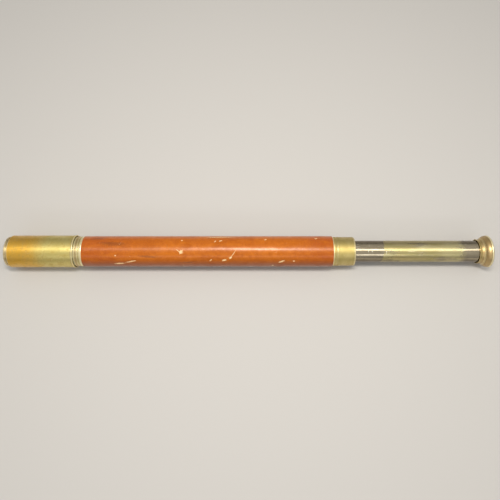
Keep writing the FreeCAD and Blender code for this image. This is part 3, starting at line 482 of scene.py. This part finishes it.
giveFinish(innerBrass, "draw_stop_ring", "erector_mount_ring", "erector_tube", "erector_front_cell",
           "erector_front_lens_ring", "erector_rear_cell", "erector_rear_lens_ring", "eyepiece_tube",
           "field_cell", "field_lens_ring", "eye_cell", "eye_lens_ring")
print("brass finishes built")


nickelLook = {
    "plate": (0.56, 0.48, 0.34, 1.0), "plateDull": (0.42, 0.355, 0.24, 1.0),
    "worn": (0.62, 0.51, 0.24, 1.0), "wornGreen": (0.52, 0.45, 0.19, 1.0),
    "wornPale": (0.77, 0.69, 0.38, 1.0),
    "wornFrom": flangeHigh.x / mm + 41.0, "wornTo": drawHigh.x / mm - 28.0, "boreRadius": 14.9,
    "slide": (0.80, 0.76, 0.62, 1.0), "hair": (0.88, 0.85, 0.74, 1.0), "speck": (0.12, 0.09, 0.04, 1.0),
    # the near-black colour paints shade in creases, over dirt; the grime colour paints shade and dark
    # reflections on the sides and below
    "nick": (0.95, 0.92, 0.78, 1.0), "dirt": (0.04, 0.035, 0.03, 1.0), "bore": (0.012, 0.011, 0.010, 1.0),
    "grime": (0.12, 0.098, 0.07, 1.0),
    "nicks": [(169.5, -15.0, 3.2, 0.9, 90.0, 0.3), (175.0, -15.0, 3.2, 0.9, 90.0, 0.3),
              (195.0, -22.0, 9.0, 0.6, 86.0, 0.3)],
}


def buildWornNickel(look):
    # nickel plate, rubbed through to yellow brass where the hand pushes the draw home
    material, tree, shader = newMaterial("wornNickel")
    place = use(tree, tubePlace)
    point = objectPoint(tree)
    wander = scaled(tree, noise(tree, point, 160.0, 4.0, 0.6), -9.0, 9.0)
    leaning = calc(tree, "MULTIPLY", place["Turn"], -0.03)
    slanted = calc(tree, "ADD", place["Along"], leaning)
    start = rise(tree, calc(tree, "ADD", slanted, calc(tree, "MULTIPLY", wander, 0.35)),
                 look["wornFrom"] - 1.2, look["wornFrom"] + 1.2)
    end = rise(tree, calc(tree, "ADD", place["Along"], wander), look["wornTo"] - 6.0, look["wornTo"] + 6.0)
    left = use(tree, blotches, size=12.0, cover=0.44, soft=0.06, seed=4.0, stretch=(0.25, 1.0, 1.0))["Mask"]
    rubbed = calc(tree, "MULTIPLY", start, calc(tree, "SUBTRACT", 1.0, end))
    rubbed = calc(tree, "MULTIPLY", rubbed, calc(tree, "SUBTRACT", 1.0, calc(tree, "MULTIPLY", left, 0.75)))
    tone = use(tree, blotches, size=6.0, cover=0.5, soft=0.14, seed=6.0, stretch=(0.2, 1.0, 1.0))["Mask"]
    pale = use(tree, blotches, size=8.0, cover=0.40, soft=0.1, seed=16.0, stretch=(0.2, 1.0, 1.0))["Mask"]
    palest = rise(tree, place["Along"], look["wornTo"] - 45.0, look["wornTo"] - 20.0)
    pale = calc(tree, "MAXIMUM", pale, calc(tree, "MULTIPLY", palest, 0.75))
    brass = mixColour(tree, tone, look["worn"], look["wornGreen"])
    brass = mixColour(tree, calc(tree, "MULTIPLY", pale, 0.7), brass, look["wornPale"])
    plate = mixColour(tree, tone, look["plate"], look["plateDull"])
    colour = mixColour(tree, rubbed, plate, brass)
    slides = use(tree, hairScratches, size=3.0, width=0.03, amount=0.62, seed=2.0,
                 stretch=(0.03, 1.0, 1.0))["Mask"]
    hairs = use(tree, hairScratches, size=8.0, width=0.008, amount=0.5, seed=3.0)["Mask"]
    specks = use(tree, blotches, size=0.9, cover=0.29, soft=0.03, seed=8.0)["Mask"]
    # painted shade in creases, over dirt
    dirt = use(tree, creaseDirt, reach=1.6, amount=0.9)["Mask"]
    colour = tinted(tree, colour, slides, 0.3, look["slide"])
    colour = tinted(tree, colour, hairs, 0.45, look["hair"])
    colour = tinted(tree, colour, specks, 0.6, look["speck"])
    spot = put(tree, "CombineXYZ", {0: place["Along"], 1: place["Turn"], 2: place["Out"]}).outputs[0]
    nicks = markMask(tree, look["nicks"], spot)
    colour = tinted(tree, colour, nicks, 0.85, look["nick"])
    colour = mixColour(tree, dirt, colour, look["dirt"])
    inside = use(tree, boreMask, out=place["Out"], radius=look["boreRadius"])["Mask"]
    colour = mixColour(tree, inside, colour, look["bore"])
    # painted shade and dark reflections on the sides and below, weaker where brass shows through
    under = use(tree, underside, turn=place["Turn"], middle=-15.0, start=30.0, full=62.0,
                wander=calc(tree, "MULTIPLY", wander, 1.2))["Mask"]
    strength = scaled(tree, rubbed, 0.85, 0.4)
    colour = tinted(tree, colour, under, strength, look["grime"])
    rough = calc(tree, "ADD", 0.13, calc(tree, "MULTIPLY", rubbed, 0.15))
    rough = raised(tree, rough, tone, 0.06)
    rough = raised(tree, rough, calc(tree, "MAXIMUM", slides, specks), 0.12)
    rough = raised(tree, rough, nicks, 0.2)
    rough = raised(tree, rough, inside, 0.5)
    tree.links.new(colour, shader.inputs["Base Color"])
    tree.links.new(rough, shader.inputs["Roughness"])
    unplated = calc(tree, "MAXIMUM", inside, calc(tree, "MULTIPLY", specks, 0.5))
    tree.links.new(calc(tree, "SUBTRACT", 1.0, unplated), shader.inputs["Metallic"])
    height = calc(tree, "ADD", calc(tree, "MULTIPLY", slides, -0.5), calc(tree, "MULTIPLY", rubbed, -0.35))
    height = calc(tree, "SUBTRACT", height, calc(tree, "MULTIPLY", calc(tree, "MAXIMUM", hairs, nicks), 0.7))
    bumped(tree, shader, height, 0.02 * mm, 0.7)
    return material


giveFinish(buildWornNickel(nickelLook), "draw_tube")


paintLook = {
    "black": (0.012, 0.012, 0.012, 1.0), "faded": (0.028, 0.026, 0.023, 1.0),
    "metal": (0.35, 0.27, 0.12, 1.0),
}


def buildBlackPaint(look):
    material, tree, shader = newMaterial("blackPaint")
    rubbed = use(tree, wornEdge, reach=0.3, amount=0.7)["Mask"]
    cloud = use(tree, blotches, size=3.0, cover=0.5, soft=0.2, seed=5.0)["Mask"]
    colour = mixColour(tree, cloud, look["black"], look["faded"])
    tree.links.new(mixColour(tree, rubbed, colour, look["metal"]), shader.inputs["Base Color"])
    tree.links.new(scaled(tree, cloud, 0.5, 0.7), shader.inputs["Roughness"])
    bumped(tree, shader, noise(tree, objectPoint(tree), 2500.0, 3.0), 0.02 * mm, 0.5)
    return material


giveFinish(buildBlackPaint(paintLook), "barrel_baffle", "erector_stop", "field_stop",
           "objective_retaining_ring")
screwLook = {
    "metal": (0.80, 0.72, 0.52, 1.0), "tarnish": (0.62, 0.52, 0.33, 1.0), "dirt": (0.04, 0.03, 0.02, 1.0),
}


def buildScrewMetal(look):
    material, tree, shader = newMaterial("screwMetal")
    # painted shade in the slot and round the head, over dirt
    dirt = use(tree, creaseDirt, reach=0.5, amount=1.0)["Mask"]
    cloud = use(tree, blotches, size=0.8, cover=0.5, soft=0.2, seed=2.0)["Mask"]
    colour = mixColour(tree, cloud, look["metal"], look["tarnish"])
    tree.links.new(mixColour(tree, dirt, colour, look["dirt"]), shader.inputs["Base Color"])
    tree.links.new(scaled(tree, cloud, 0.2, 0.4), shader.inputs["Roughness"])
    tree.links.new(calc(tree, "SUBTRACT", 1.0, calc(tree, "MULTIPLY", dirt, 0.6)), shader.inputs["Metallic"])
    bumped(tree, shader, cloud, 0.01 * mm, 0.5)
    return material


giveFinish(buildScrewMetal(screwLook), *[name for name in nodes if name.startswith("collar_screw")])
feltLook = {
    "dark": (0.018, 0.013, 0.010, 1.0), "light": (0.085, 0.062, 0.045, 1.0),
    "pressed": (0.03, 0.022, 0.016, 1.0), "sheen": 0.4,
}


def buildFelt(look):
    material, tree, shader = newMaterial("feltLining")
    point = objectPoint(tree)
    fibres = noise(tree, point, 3500.0, 6.0, 0.75, 0.0, 1.2)
    pressed = use(tree, blotches, size=6.0, cover=0.5, soft=0.2, seed=9.0)["Mask"]
    colour = mixColour(tree, fibres, look["dark"], look["light"])
    tree.links.new(tinted(tree, colour, pressed, 0.4, look["pressed"]), shader.inputs["Base Color"])
    tree.links.new(scaled(tree, fibres, 0.85, 1.0), shader.inputs["Roughness"])
    shader.inputs["Sheen Weight"].default_value = look["sheen"]
    bumped(tree, shader, fibres, 0.15 * mm, 0.9)
    return material


giveFinish(buildFelt(feltLook), "shade_lining")
glassLook = {"tint": (0.97, 0.99, 0.975, 1.0), "bend": 1.52, "dust": 0.012, "wipes": 0.08}


def buildLensGlass(look):
    # old crown and flint glass with a faint bloom of dust and a few wiping marks
    material, tree, shader = newMaterial("lensGlass")
    shader.inputs["Base Color"].default_value = look["tint"]
    shader.inputs["Transmission Weight"].default_value = 1.0
    shader.inputs["IOR"].default_value = look["bend"]
    dust = use(tree, blotches, size=5.0, cover=0.45, soft=0.3, seed=14.0)["Mask"]
    wipes = use(tree, hairScratches, size=14.0, width=0.004, amount=0.35, seed=15.0)["Mask"]
    rough = raised(tree, scaled(tree, dust, 0.0, look["dust"]), wipes, look["wipes"])
    tree.links.new(rough, shader.inputs["Roughness"])
    return material


giveFinish(buildLensGlass(glassLook), *[name for name in nodes if name.endswith("_lens")])
print("nickel, paint, felt and glass built")


# leather sleeve and its stitches

sleeveSettings = {
    "ringsAlong": 330,
    "stepsRound": 168,
    "seamTurn": 137.0,            # degrees from the top, on the far lower side
    "seamWidth": 0.7,             # mm across the valley where the two edges meet
    "seamDepth": 0.38,
    "seamRidge": 0.22,            # leather that the thread pulls up beside the valley
    "seamSpan": 7.0,              # degrees on each side that get the finer steps
    "fineStep": 0.35,
    "stitchPitch": 3.0,
    "thickness": 1.6,
    "endRound": 0.55,
    "unevenness": 0.06,
}


def sleeveRadius(alongMm, turn, settings):
    # outside of the leather, in mm, at a place along it and a turn from the top in degrees
    angle = math.radians(turn)
    spot = Vector((alongMm / 22.0, math.cos(angle) * 1.4, math.sin(angle) * 1.4))
    radius = leatherRadius - settings["unevenness"] + settings["unevenness"] * noiseAt(spot)
    fromEnd = min(alongMm, leatherLength - alongMm)
    if fromEnd < settings["endRound"]:
        drop = settings["endRound"] - fromEnd
        radius -= settings["endRound"] - math.sqrt(max(settings["endRound"] ** 2 - drop ** 2, 0.0))
    offSeam = (turn - settings["seamTurn"] + 180.0) % 360.0 - 180.0
    across = math.radians(offSeam) * leatherRadius / (settings["seamWidth"] / 2)
    pull = 0.75 + 0.25 * math.cos(2 * math.pi * alongMm / settings["stitchPitch"])
    radius += settings["seamRidge"] * pull * math.exp(-((abs(across) - 2.2) / 1.1) ** 2)
    radius -= settings["seamRidge"] * 0.3 * math.exp(-(across / 6.0) ** 2)
    return radius - settings["seamDepth"] * math.exp(-across ** 2)


def noiseAt(spot):
    return mathutils.noise.noise(spot) + 0.5 * mathutils.noise.noise(spot * 2.7)


def sleeveTurns(settings):
    # even steps round, and finer ones over the seam
    span, fineStep = settings["seamSpan"], settings["fineStep"]
    step = (360.0 - 2 * span) / settings["stepsRound"]
    turns = [settings["seamTurn"] + span + i * step for i in range(settings["stepsRound"] + 1)]
    fineSteps = round(2 * span / fineStep)
    return turns + [settings["seamTurn"] - span + i * fineStep for i in range(1, fineSteps)]


def buildSleeve(settings):
    inner = leatherRadius - settings["thickness"]
    turns = sleeveTurns(settings)
    stations = [0.0, 0.04, 0.12, 0.25, 0.4, settings["endRound"]]
    between = leatherLength - 2 * settings["endRound"]
    middle = [settings["endRound"] + between * i / settings["ringsAlong"]
              for i in range(1, settings["ringsAlong"])]
    stations += middle + [leatherLength - value for value in reversed(stations)]
    rings = [(station, None) for station in stations] + [(leatherLength, inner), (0.0, inner)]
    points = []
    for station, fixed in rings:
        for turn in turns:
            radius = (fixed if fixed else sleeveRadius(station, turn, settings)) * mm
            angle = math.radians(turn)
            points.append((leatherLow.x + station * mm, radius * math.sin(angle),
                           axisHeight + radius * math.cos(angle)))
    count = len(turns)
    faces = []
    for i in range(len(rings)):
        after = (i + 1) % len(rings)
        for j in range(count):
            k = (j + 1) % count
            faces.append((i * count + j, i * count + k, after * count + k, after * count + j))
    mesh = bpy.data.meshes.new("leatherSleeve")
    mesh.from_pydata(points, [], faces)
    mesh.validate()
    sleeve = bpy.data.objects.new("leatherSleeve", mesh)
    bpy.context.scene.collection.objects.link(sleeve)
    mesh.shade_smooth()
    mesh.set_sharp_from_angle(angle=math.radians(50))
    return sleeve


stitchSettings = {
    "turn": sleeveSettings["seamTurn"],
    "pitch": sleeveSettings["stitchPitch"],
    "thick": 0.55,
    "steps": 9,
    "sides": 8,
    "across": 2.6 / 22.0,         # turn from one end of a stitch to the other, in radians
    "stray": 0.12,                # mm that a stitch is out of step
    "slant": (1.3, 1.7),
    "rise": 0.32,
    "sink": 0.12,
    "seed": 5,
    "plainEnds": 4.0,             # mm without stitches, both ends together
}


def buildStitches(settings):
    # one short slanted bar of waxed thread for each stitch, sunk at both ends
    thick = settings["thick"] / 2
    steps, sides = settings["steps"], settings["sides"]
    points, faces = [], []
    dice = random.Random(settings["seed"])
    stray = settings["stray"]
    for number in range(int((leatherLength - settings["plainEnds"]) / settings["pitch"])):
        start = settings["plainEnds"] / 2 + number * settings["pitch"] + dice.uniform(-stray, stray)
        slant = dice.uniform(*settings["slant"])
        base = len(points)
        for i in range(steps):
            share = i / (steps - 1)
            along = start + slant * share
            turn = settings["turn"] + math.degrees((share - 0.5) * settings["across"])
            lift = settings["rise"] * math.sin(math.pi * share) - settings["sink"]
            ridge = leatherRadius - 0.1 + lift
            width = thick * (0.65 + 0.35 * math.sin(math.pi * share))
            for k in range(sides):
                swing = 2 * math.pi * k / sides
                radius = (ridge + width * math.sin(swing)) * mm
                x = leatherLow.x + (along + width * math.cos(swing)) * mm
                angle = math.radians(turn)
                points.append((x, radius * math.sin(angle), axisHeight + radius * math.cos(angle)))
        for i in range(steps - 1):
            for k in range(sides):
                after = (k + 1) % sides
                faces.append((base + i * sides + k, base + i * sides + after,
                              base + (i + 1) * sides + after, base + (i + 1) * sides + k))
        faces.append(tuple(base + k for k in reversed(range(sides))))
        faces.append(tuple(base + (steps - 1) * sides + k for k in range(sides)))
    mesh = bpy.data.meshes.new("seamStitches")
    mesh.from_pydata(points, [], faces)
    mesh.validate()
    mesh.shade_smooth()
    stitches = bpy.data.objects.new("seamStitches", mesh)
    bpy.context.scene.collection.objects.link(stitches)
    return stitches


# the darkest brown and its depth paint shade on the lower side; the near-black paints shade in creases, over
# dirt
leatherLook = {
    "tan": (0.54, 0.130, 0.001, 1.0), "deep": (0.33, 0.056, 0.001, 1.0), "red": (0.37, 0.056, 0.003, 1.0),
    "smudge": (0.13, 0.035, 0.012, 1.0), "scuff": (0.97, 0.80, 0.48, 1.0),
    "scuffDeep": (0.74, 0.42, 0.14, 1.0), "raw": (0.72, 0.50, 0.26, 1.0),
    "worn": (0.70, 0.20, 0.005, 1.0), "under": (0.24, 0.045, 0.001, 1.0), "redFront": 62.0, "redBack": 47.0,
    "scuffGrowth": 1.3, "mottleDepth": 0.62, "rubDepth": 0.32, "fineDepth": 0.36, "crackDepth": 0.4,
    "underDepth": 0.85, "endsDepth": 0.75, "coatRough": 0.27, "gloss": 0.4,
    "glossTint": (1.0, 0.50, 0.10, 1.0), "dirt": (0.03, 0.012, 0.006, 1.0),
    "grainHeight": 0.10,    # mm
}
# light scuffs: mm from the front of the leather, turn from the top, length, width, slant, raggedness
leatherMarks = [
    (213.3, -27.0, 15.0, 0.8, 55.0, 0.25), (210.0, -38.5, 4.4, 2.8, 30.0, 0.7),
    (201.0, -49.5, 6.2, 2.8, 15.0, 0.7), (53.5, -66.0, 13.0, 2.3, 4.0, 0.8),
    (69.5, -56.0, 14.0, 1.7, 14.0, 0.8), (140.8, -17.5, 5.6, 4.4, 45.0, 0.8),
    (136.5, -13.0, 6.5, 0.9, -35.0, 0.4), (140.8, 29.0, 2.4, 2.0, 0.0, 0.6),
    (196.0, 51.0, 34.0, 1.8, 2.0, 0.9), (196.0, 27.0, 4.4, 1.6, 20.0, 0.7),
    (188.0, 24.0, 3.0, 1.4, 50.0, 0.7), (281.5, -56.0, 9.0, 2.3, 24.0, 0.7),
    (299.0, -53.5, 2.8, 2.2, 0.0, 0.4), (269.6, -80.0, 3.0, 2.0, 30.0, 0.5),
    (48.5, -31.0, 2.2, 1.8, 0.0, 0.5), (331.0, 40.0, 3.6, 1.8, 10.0, 0.7),
    (259.5, 34.0, 3.2, 1.6, 30.0, 0.7), (182.0, -50.0, 4.6, 1.4, 40.0, 0.7),
]
# and as many again scattered over the sides that face away
scatter = random.Random(17)
for number in range(16):
    leatherMarks.append((scatter.uniform(12.0, 340.0), scatter.choice([-1, 1]) * scatter.uniform(88.0, 172.0),
                         scatter.uniform(2.0, 13.0), scatter.uniform(0.7, 2.4), scatter.uniform(-60.0, 60.0),
                         0.7))
# dark marks, the same way
leatherSmudges = [
    (44.0, 14.0, 46.0, 8.0, -3.0, 0.9), (178.7, 40.0, 3.0, 1.8, 0.0, 0.6),
    (150.0, -60.0, 30.0, 3.0, 5.0, 0.9), (22.0, 40.0, 26.0, 6.0, 8.0, 1.0),
    (95.0, -35.0, 34.0, 4.0, -4.0, 1.0), (240.0, 110.0, 44.0, 9.0, 3.0, 1.0),
    (70.0, 120.0, 30.0, 6.0, -5.0, 1.0), (300.0, -115.0, 36.0, 7.0, 4.0, 1.0),
    (140.0, -150.0, 50.0, 9.0, 0.0, 1.0),
]


def buildLeather(look):
    material, tree, shader = newMaterial("tanLeather")
    where = use(tree, tubePlace)
    point = objectPoint(tree)
    along = calc(tree, "SUBTRACT", where["Along"], leatherLow.x / mm)
    place = put(tree, "CombineXYZ", {0: along, 1: where["Turn"], 2: where["Out"]}).outputs[0]
    clouds = use(tree, blotches, size=26.0, cover=0.48, soft=0.2, seed=1.0)["Mask"]
    mottle = use(tree, blotches, size=7.0, cover=0.46, soft=0.22, seed=2.0)["Mask"]
    wander = scaled(tree, noise(tree, point, 30.0, 3.0), -26.0, 26.0)
    shifted = calc(tree, "ADD", along, wander)
    front = calc(tree, "SUBTRACT", 1.0, rise(tree, shifted, look["redFront"] * 0.3, look["redFront"] * 1.5))
    back = rise(tree, shifted, leatherLength - look["redBack"] * 1.5,
                leatherLength - look["redBack"] * 0.3)
    colour = mixColour(tree, calc(tree, "MULTIPLY", clouds, 0.55), look["tan"], look["deep"])
    ends = calc(tree, "MULTIPLY", calc(tree, "MAXIMUM", front, back), look["endsDepth"])
    colour = mixColour(tree, ends, colour, look["red"])
    colour = tinted(tree, colour, mottle, look["mottleDepth"], look["deep"])
    rubs = use(tree, blotches, size=9.0, cover=0.42, soft=0.12, seed=18.0, stretch=(0.35, 1.0, 1.0))["Mask"]
    colour = tinted(tree, colour, rubs, look["rubDepth"], look["worn"])
    fine = use(tree, blotches, size=2.2, cover=0.5, soft=0.25, seed=8.0)["Mask"]
    colour = tinted(tree, colour, fine, look["fineDepth"], look["worn"])
    cracks = use(tree, hairScratches, size=7.0, width=0.012, amount=0.45, seed=28.0,
                 stretch=(0.5, 1.0, 1.0))["Mask"]
    colour = tinted(tree, colour, cracks, look["crackDepth"], look["smudge"])
    # painted shade on the lower side
    under = use(tree, underside, turn=where["Turn"], middle=15.0, start=48.0, full=92.0,
                wander=calc(tree, "MULTIPLY", wander, 0.4))["Mask"]
    colour = tinted(tree, colour, under, look["underDepth"], look["under"])
    smudges = markMask(tree, leatherSmudges, place)
    fingers = use(tree, blotches, size=11.0, cover=0.31, soft=0.08, seed=6.0, stretch=(0.5, 1.0, 1.0))["Mask"]
    dark = calc(tree, "MAXIMUM", calc(tree, "MULTIPLY", smudges, 0.45), calc(tree, "MULTIPLY", fingers, 0.3))
    colour = mixColour(tree, dark, colour, look["smudge"])
    pores = put(tree, "TexVoronoi", {"Vector": point, "Scale": 1500.0}, feature="F1").outputs["Distance"]
    creases = put(tree, "TexVoronoi", {"Vector": point, "Scale": 520.0}, feature="DISTANCE_TO_EDGE")
    grain = calc(tree, "SUBTRACT", 1.0, rise(tree, creases.outputs["Distance"], 0.0, 0.12))
    colour = tinted(tree, colour, grain, 0.10, look["smudge"])
    grown = [(at, turn, long * look["scuffGrowth"], wide * look["scuffGrowth"], slant, ragged)
             for at, turn, long, wide, slant, ragged in leatherMarks]
    scuffs = markMask(tree, grown, place)
    stray = use(tree, blotches, size=2.6, cover=0.235, soft=0.025, seed=21.0, stretch=(0.6, 1.0, 1.0))["Mask"]
    hairs = use(tree, hairScratches, size=17.0, width=0.0045, amount=0.40, seed=12.0)["Mask"]
    light = calc(tree, "MAXIMUM", scuffs, calc(tree, "MULTIPLY", calc(tree, "MAXIMUM", stray, hairs), 0.55))
    fibres = noise(tree, point, 2600.0, 3.0, 0.7)
    scuffTone = mixColour(tree, rise(tree, fibres, 0.38, 0.6), look["scuffDeep"], look["scuff"])
    lost = calc(tree, "MULTIPLY", light, scaled(tree, fibres, 0.75, 1.35), clamp=True)
    colour = tinted(tree, colour, lost, 0.95, scuffTone)
    edges = use(tree, wornEdge, reach=0.5, amount=0.8)["Mask"]
    fromEnds = calc(tree, "MINIMUM", along, calc(tree, "SUBTRACT", leatherLength, along))
    cut = calc(tree, "SUBTRACT", 1.0, rise(tree, fromEnds, 0.06, 0.3))
    colour = tinted(tree, colour, edges, 0.5, look["scuff"])
    colour = tinted(tree, colour, cut, 0.85, look["raw"])
    # painted shade in creases and where the leather meets the collars, over dirt
    dirt = use(tree, creaseDirt, reach=1.0, amount=0.56)["Mask"]
    colour = mixColour(tree, dirt, colour, look["dirt"])
    tree.links.new(colour, shader.inputs["Base Color"])
    rough = calc(tree, "ADD", scaled(tree, clouds, 0.34, 0.44), calc(tree, "MULTIPLY", light, 0.3))
    rough = raised(tree, rough, mottle, 0.05)
    tree.links.new(rough, shader.inputs["Roughness"])
    shine = calc(tree, "SUBTRACT", scaled(tree, mottle, 0.85, 0.42), calc(tree, "MULTIPLY", light, 0.3),
                 clamp=True)
    tree.links.new(shine, shader.inputs["Coat Weight"])
    shader.inputs["Coat Roughness"].default_value = look["coatRough"]
    shader.inputs["Specular IOR Level"].default_value = look["gloss"]
    shader.inputs["Specular Tint"].default_value = look["glossTint"]
    height = calc(tree, "SUBTRACT", calc(tree, "MULTIPLY", noise(tree, point, 260.0, 5.0, 0.6), 1.2),
                  calc(tree, "MULTIPLY", grain, 0.30))
    height = calc(tree, "ADD", height, calc(tree, "MULTIPLY", pores, 0.35))
    height = calc(tree, "SUBTRACT", height, calc(tree, "MULTIPLY", calc(tree, "MAXIMUM", light, cracks), 0.8))
    bumped(tree, shader, height, look["grainHeight"] * mm, 0.55)
    return material


threadLook = {
    "dark": (0.20, 0.09, 0.03, 1.0), "light": (0.42, 0.22, 0.085, 1.0), "grime": (0.07, 0.03, 0.012, 1.0),
}


def buildThread(look):
    material, tree, shader = newMaterial("waxedThread")
    point = objectPoint(tree)
    waves = {"Vector": point, "Scale": 700.0, "Distortion": 3.0}
    twist = put(tree, "TexWave", waves, bands_direction="DIAGONAL").outputs["Fac"]
    grime = use(tree, blotches, size=6.0, cover=0.5, soft=0.2, seed=3.0)["Mask"]
    colour = mixColour(tree, twist, look["dark"], look["light"])
    tree.links.new(tinted(tree, colour, grime, 0.5, look["grime"]), shader.inputs["Base Color"])
    tree.links.new(scaled(tree, twist, 0.45, 0.65), shader.inputs["Roughness"])
    bumped(tree, shader, twist, 0.05 * mm, 0.8)
    return material


sleeve = buildSleeve(sleeveSettings)
sleeve.data.materials.append(buildLeather(leatherLook))
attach(sleeve, "barrel")
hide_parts("leather_cover")
stitches = buildStitches(stitchSettings)
stitches.data.materials.append(buildThread(threadLook))
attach(stitches, "barrel")
print("leather sleeve made,", len(sleeve.data.polygons), "faces, and its stitches")


# stage, lamps and camera

stageSettings = {
    "floorColour": (0.56, 0.545, 0.52, 1.0),
    "floorRough": 0.7,
    "floorHalf": 3.0,
    "skyColour": (1.0, 0.98, 0.95, 1.0),
    "overhead": 0.60,
    "horizon": 0.26,
}
lampSettings = {
    "stripLamp": {"place": (0.0, 0.02, 1.1), "aim": (0.0, 0.0, 0.0), "size": (1.7, 0.26), "power": 4.6,
                  "colour": (1.0, 0.96, 0.90)},
    "keyLamp": {"place": (0.02, 0.03, 1.08), "aim": (0.01, 0.0, 0.0), "size": (0.30, 0.10), "power": 5.2,
                "colour": (1.0, 0.95, 0.88)},
    "fillLamp": {"place": (0.0, -1.2, 0.9), "aim": (0.0, 0.0, 0.0), "size": (1.6, 0.24), "power": 2.4,
                 "colour": (0.98, 0.98, 1.0)},
}
cameraSettings = {
    "elevation": 75.0,    # degrees above the horizon
    "distance": 0.727,    # from the optical axis
    "lean": 7.0,          # the lens points this much above the telescope
    "lift": 0.0026,       # share of the frame that it stands below the middle
    "aside": 0.0021,      # along the tube from its middle
    "lens": 36.0,
    "sensor": 36.0,
}


def buildCamera(settings):
    data = bpy.data.cameras.new("camera")
    camera = bpy.data.objects.new("camera", data)
    bpy.context.scene.collection.objects.link(camera)
    elevation = math.radians(settings["elevation"])
    middle = Vector((settings["aside"], 0.0, axisHeight))
    offset = Vector((0.0, -math.cos(elevation), math.sin(elevation))) * settings["distance"]
    camera.location = middle + offset
    lean = math.radians(settings["lean"])
    camera.rotation_euler = (math.pi / 2 - elevation + lean, 0.0, 0.0)
    data.sensor_width = settings["sensor"]
    data.lens = settings["lens"]
    data.shift_y = settings["lift"] - math.tan(lean) * settings["lens"] / settings["sensor"]
    data.clip_start = 0.01
    bpy.context.scene.camera = camera


buildCamera(cameraSettings)


def buildFloor(settings):
    mesh = bpy.data.meshes.new("floor")
    half = settings["floorHalf"]
    corners = [(-half, -half, 0), (half, -half, 0), (half, half, 0), (-half, half, 0)]
    mesh.from_pydata(corners, [], [(0, 1, 2, 3)])
    floor = bpy.data.objects.new("floor", mesh)
    bpy.context.scene.collection.objects.link(floor)
    material = bpy.data.materials.new("paleFloor")
    material.use_nodes = True
    shader = material.node_tree.nodes["Principled BSDF"]
    shader.inputs["Base Color"].default_value = settings["floorColour"]
    shader.inputs["Roughness"].default_value = settings["floorRough"]
    mesh.materials.append(material)


buildFloor(stageSettings)


def areaLamp(name, settings):
    data = bpy.data.lights.new(name, "AREA")
    data.shape = "RECTANGLE"
    data.size, data.size_y = settings["size"]
    data.energy = settings["power"]
    data.color = settings["colour"]
    lamp = bpy.data.objects.new(name, data)
    bpy.context.scene.collection.objects.link(lamp)
    lamp.location = settings["place"]
    facing = Vector(settings["aim"]) - Vector(settings["place"])
    lamp.rotation_euler = facing.to_track_quat("-Z", "Y").to_euler()


for lampName, lampLook in lampSettings.items():
    areaLamp(lampName, lampLook)
world = bpy.data.worlds.new("softRoom")
bpy.context.scene.world = world
world.use_nodes = True
direction = put(world.node_tree, "TexCoord").outputs["Generated"]
sky = put(world.node_tree, "SeparateXYZ", {0: direction}).outputs[2]
glow = put(world.node_tree, "MapRange", {
    "Value": sky, "From Min": 0.0, "From Max": 0.9,
    "To Min": stageSettings["horizon"], "To Max": stageSettings["overhead"]})
backdrop = world.node_tree.nodes["Background"].inputs
backdrop["Color"].default_value = stageSettings["skyColour"]
world.node_tree.links.new(glow.outputs["Result"], backdrop["Strength"])
bpy.context.scene.view_settings.view_transform = "Standard"
print("camera, floor and", len(lampSettings), "lamps set")
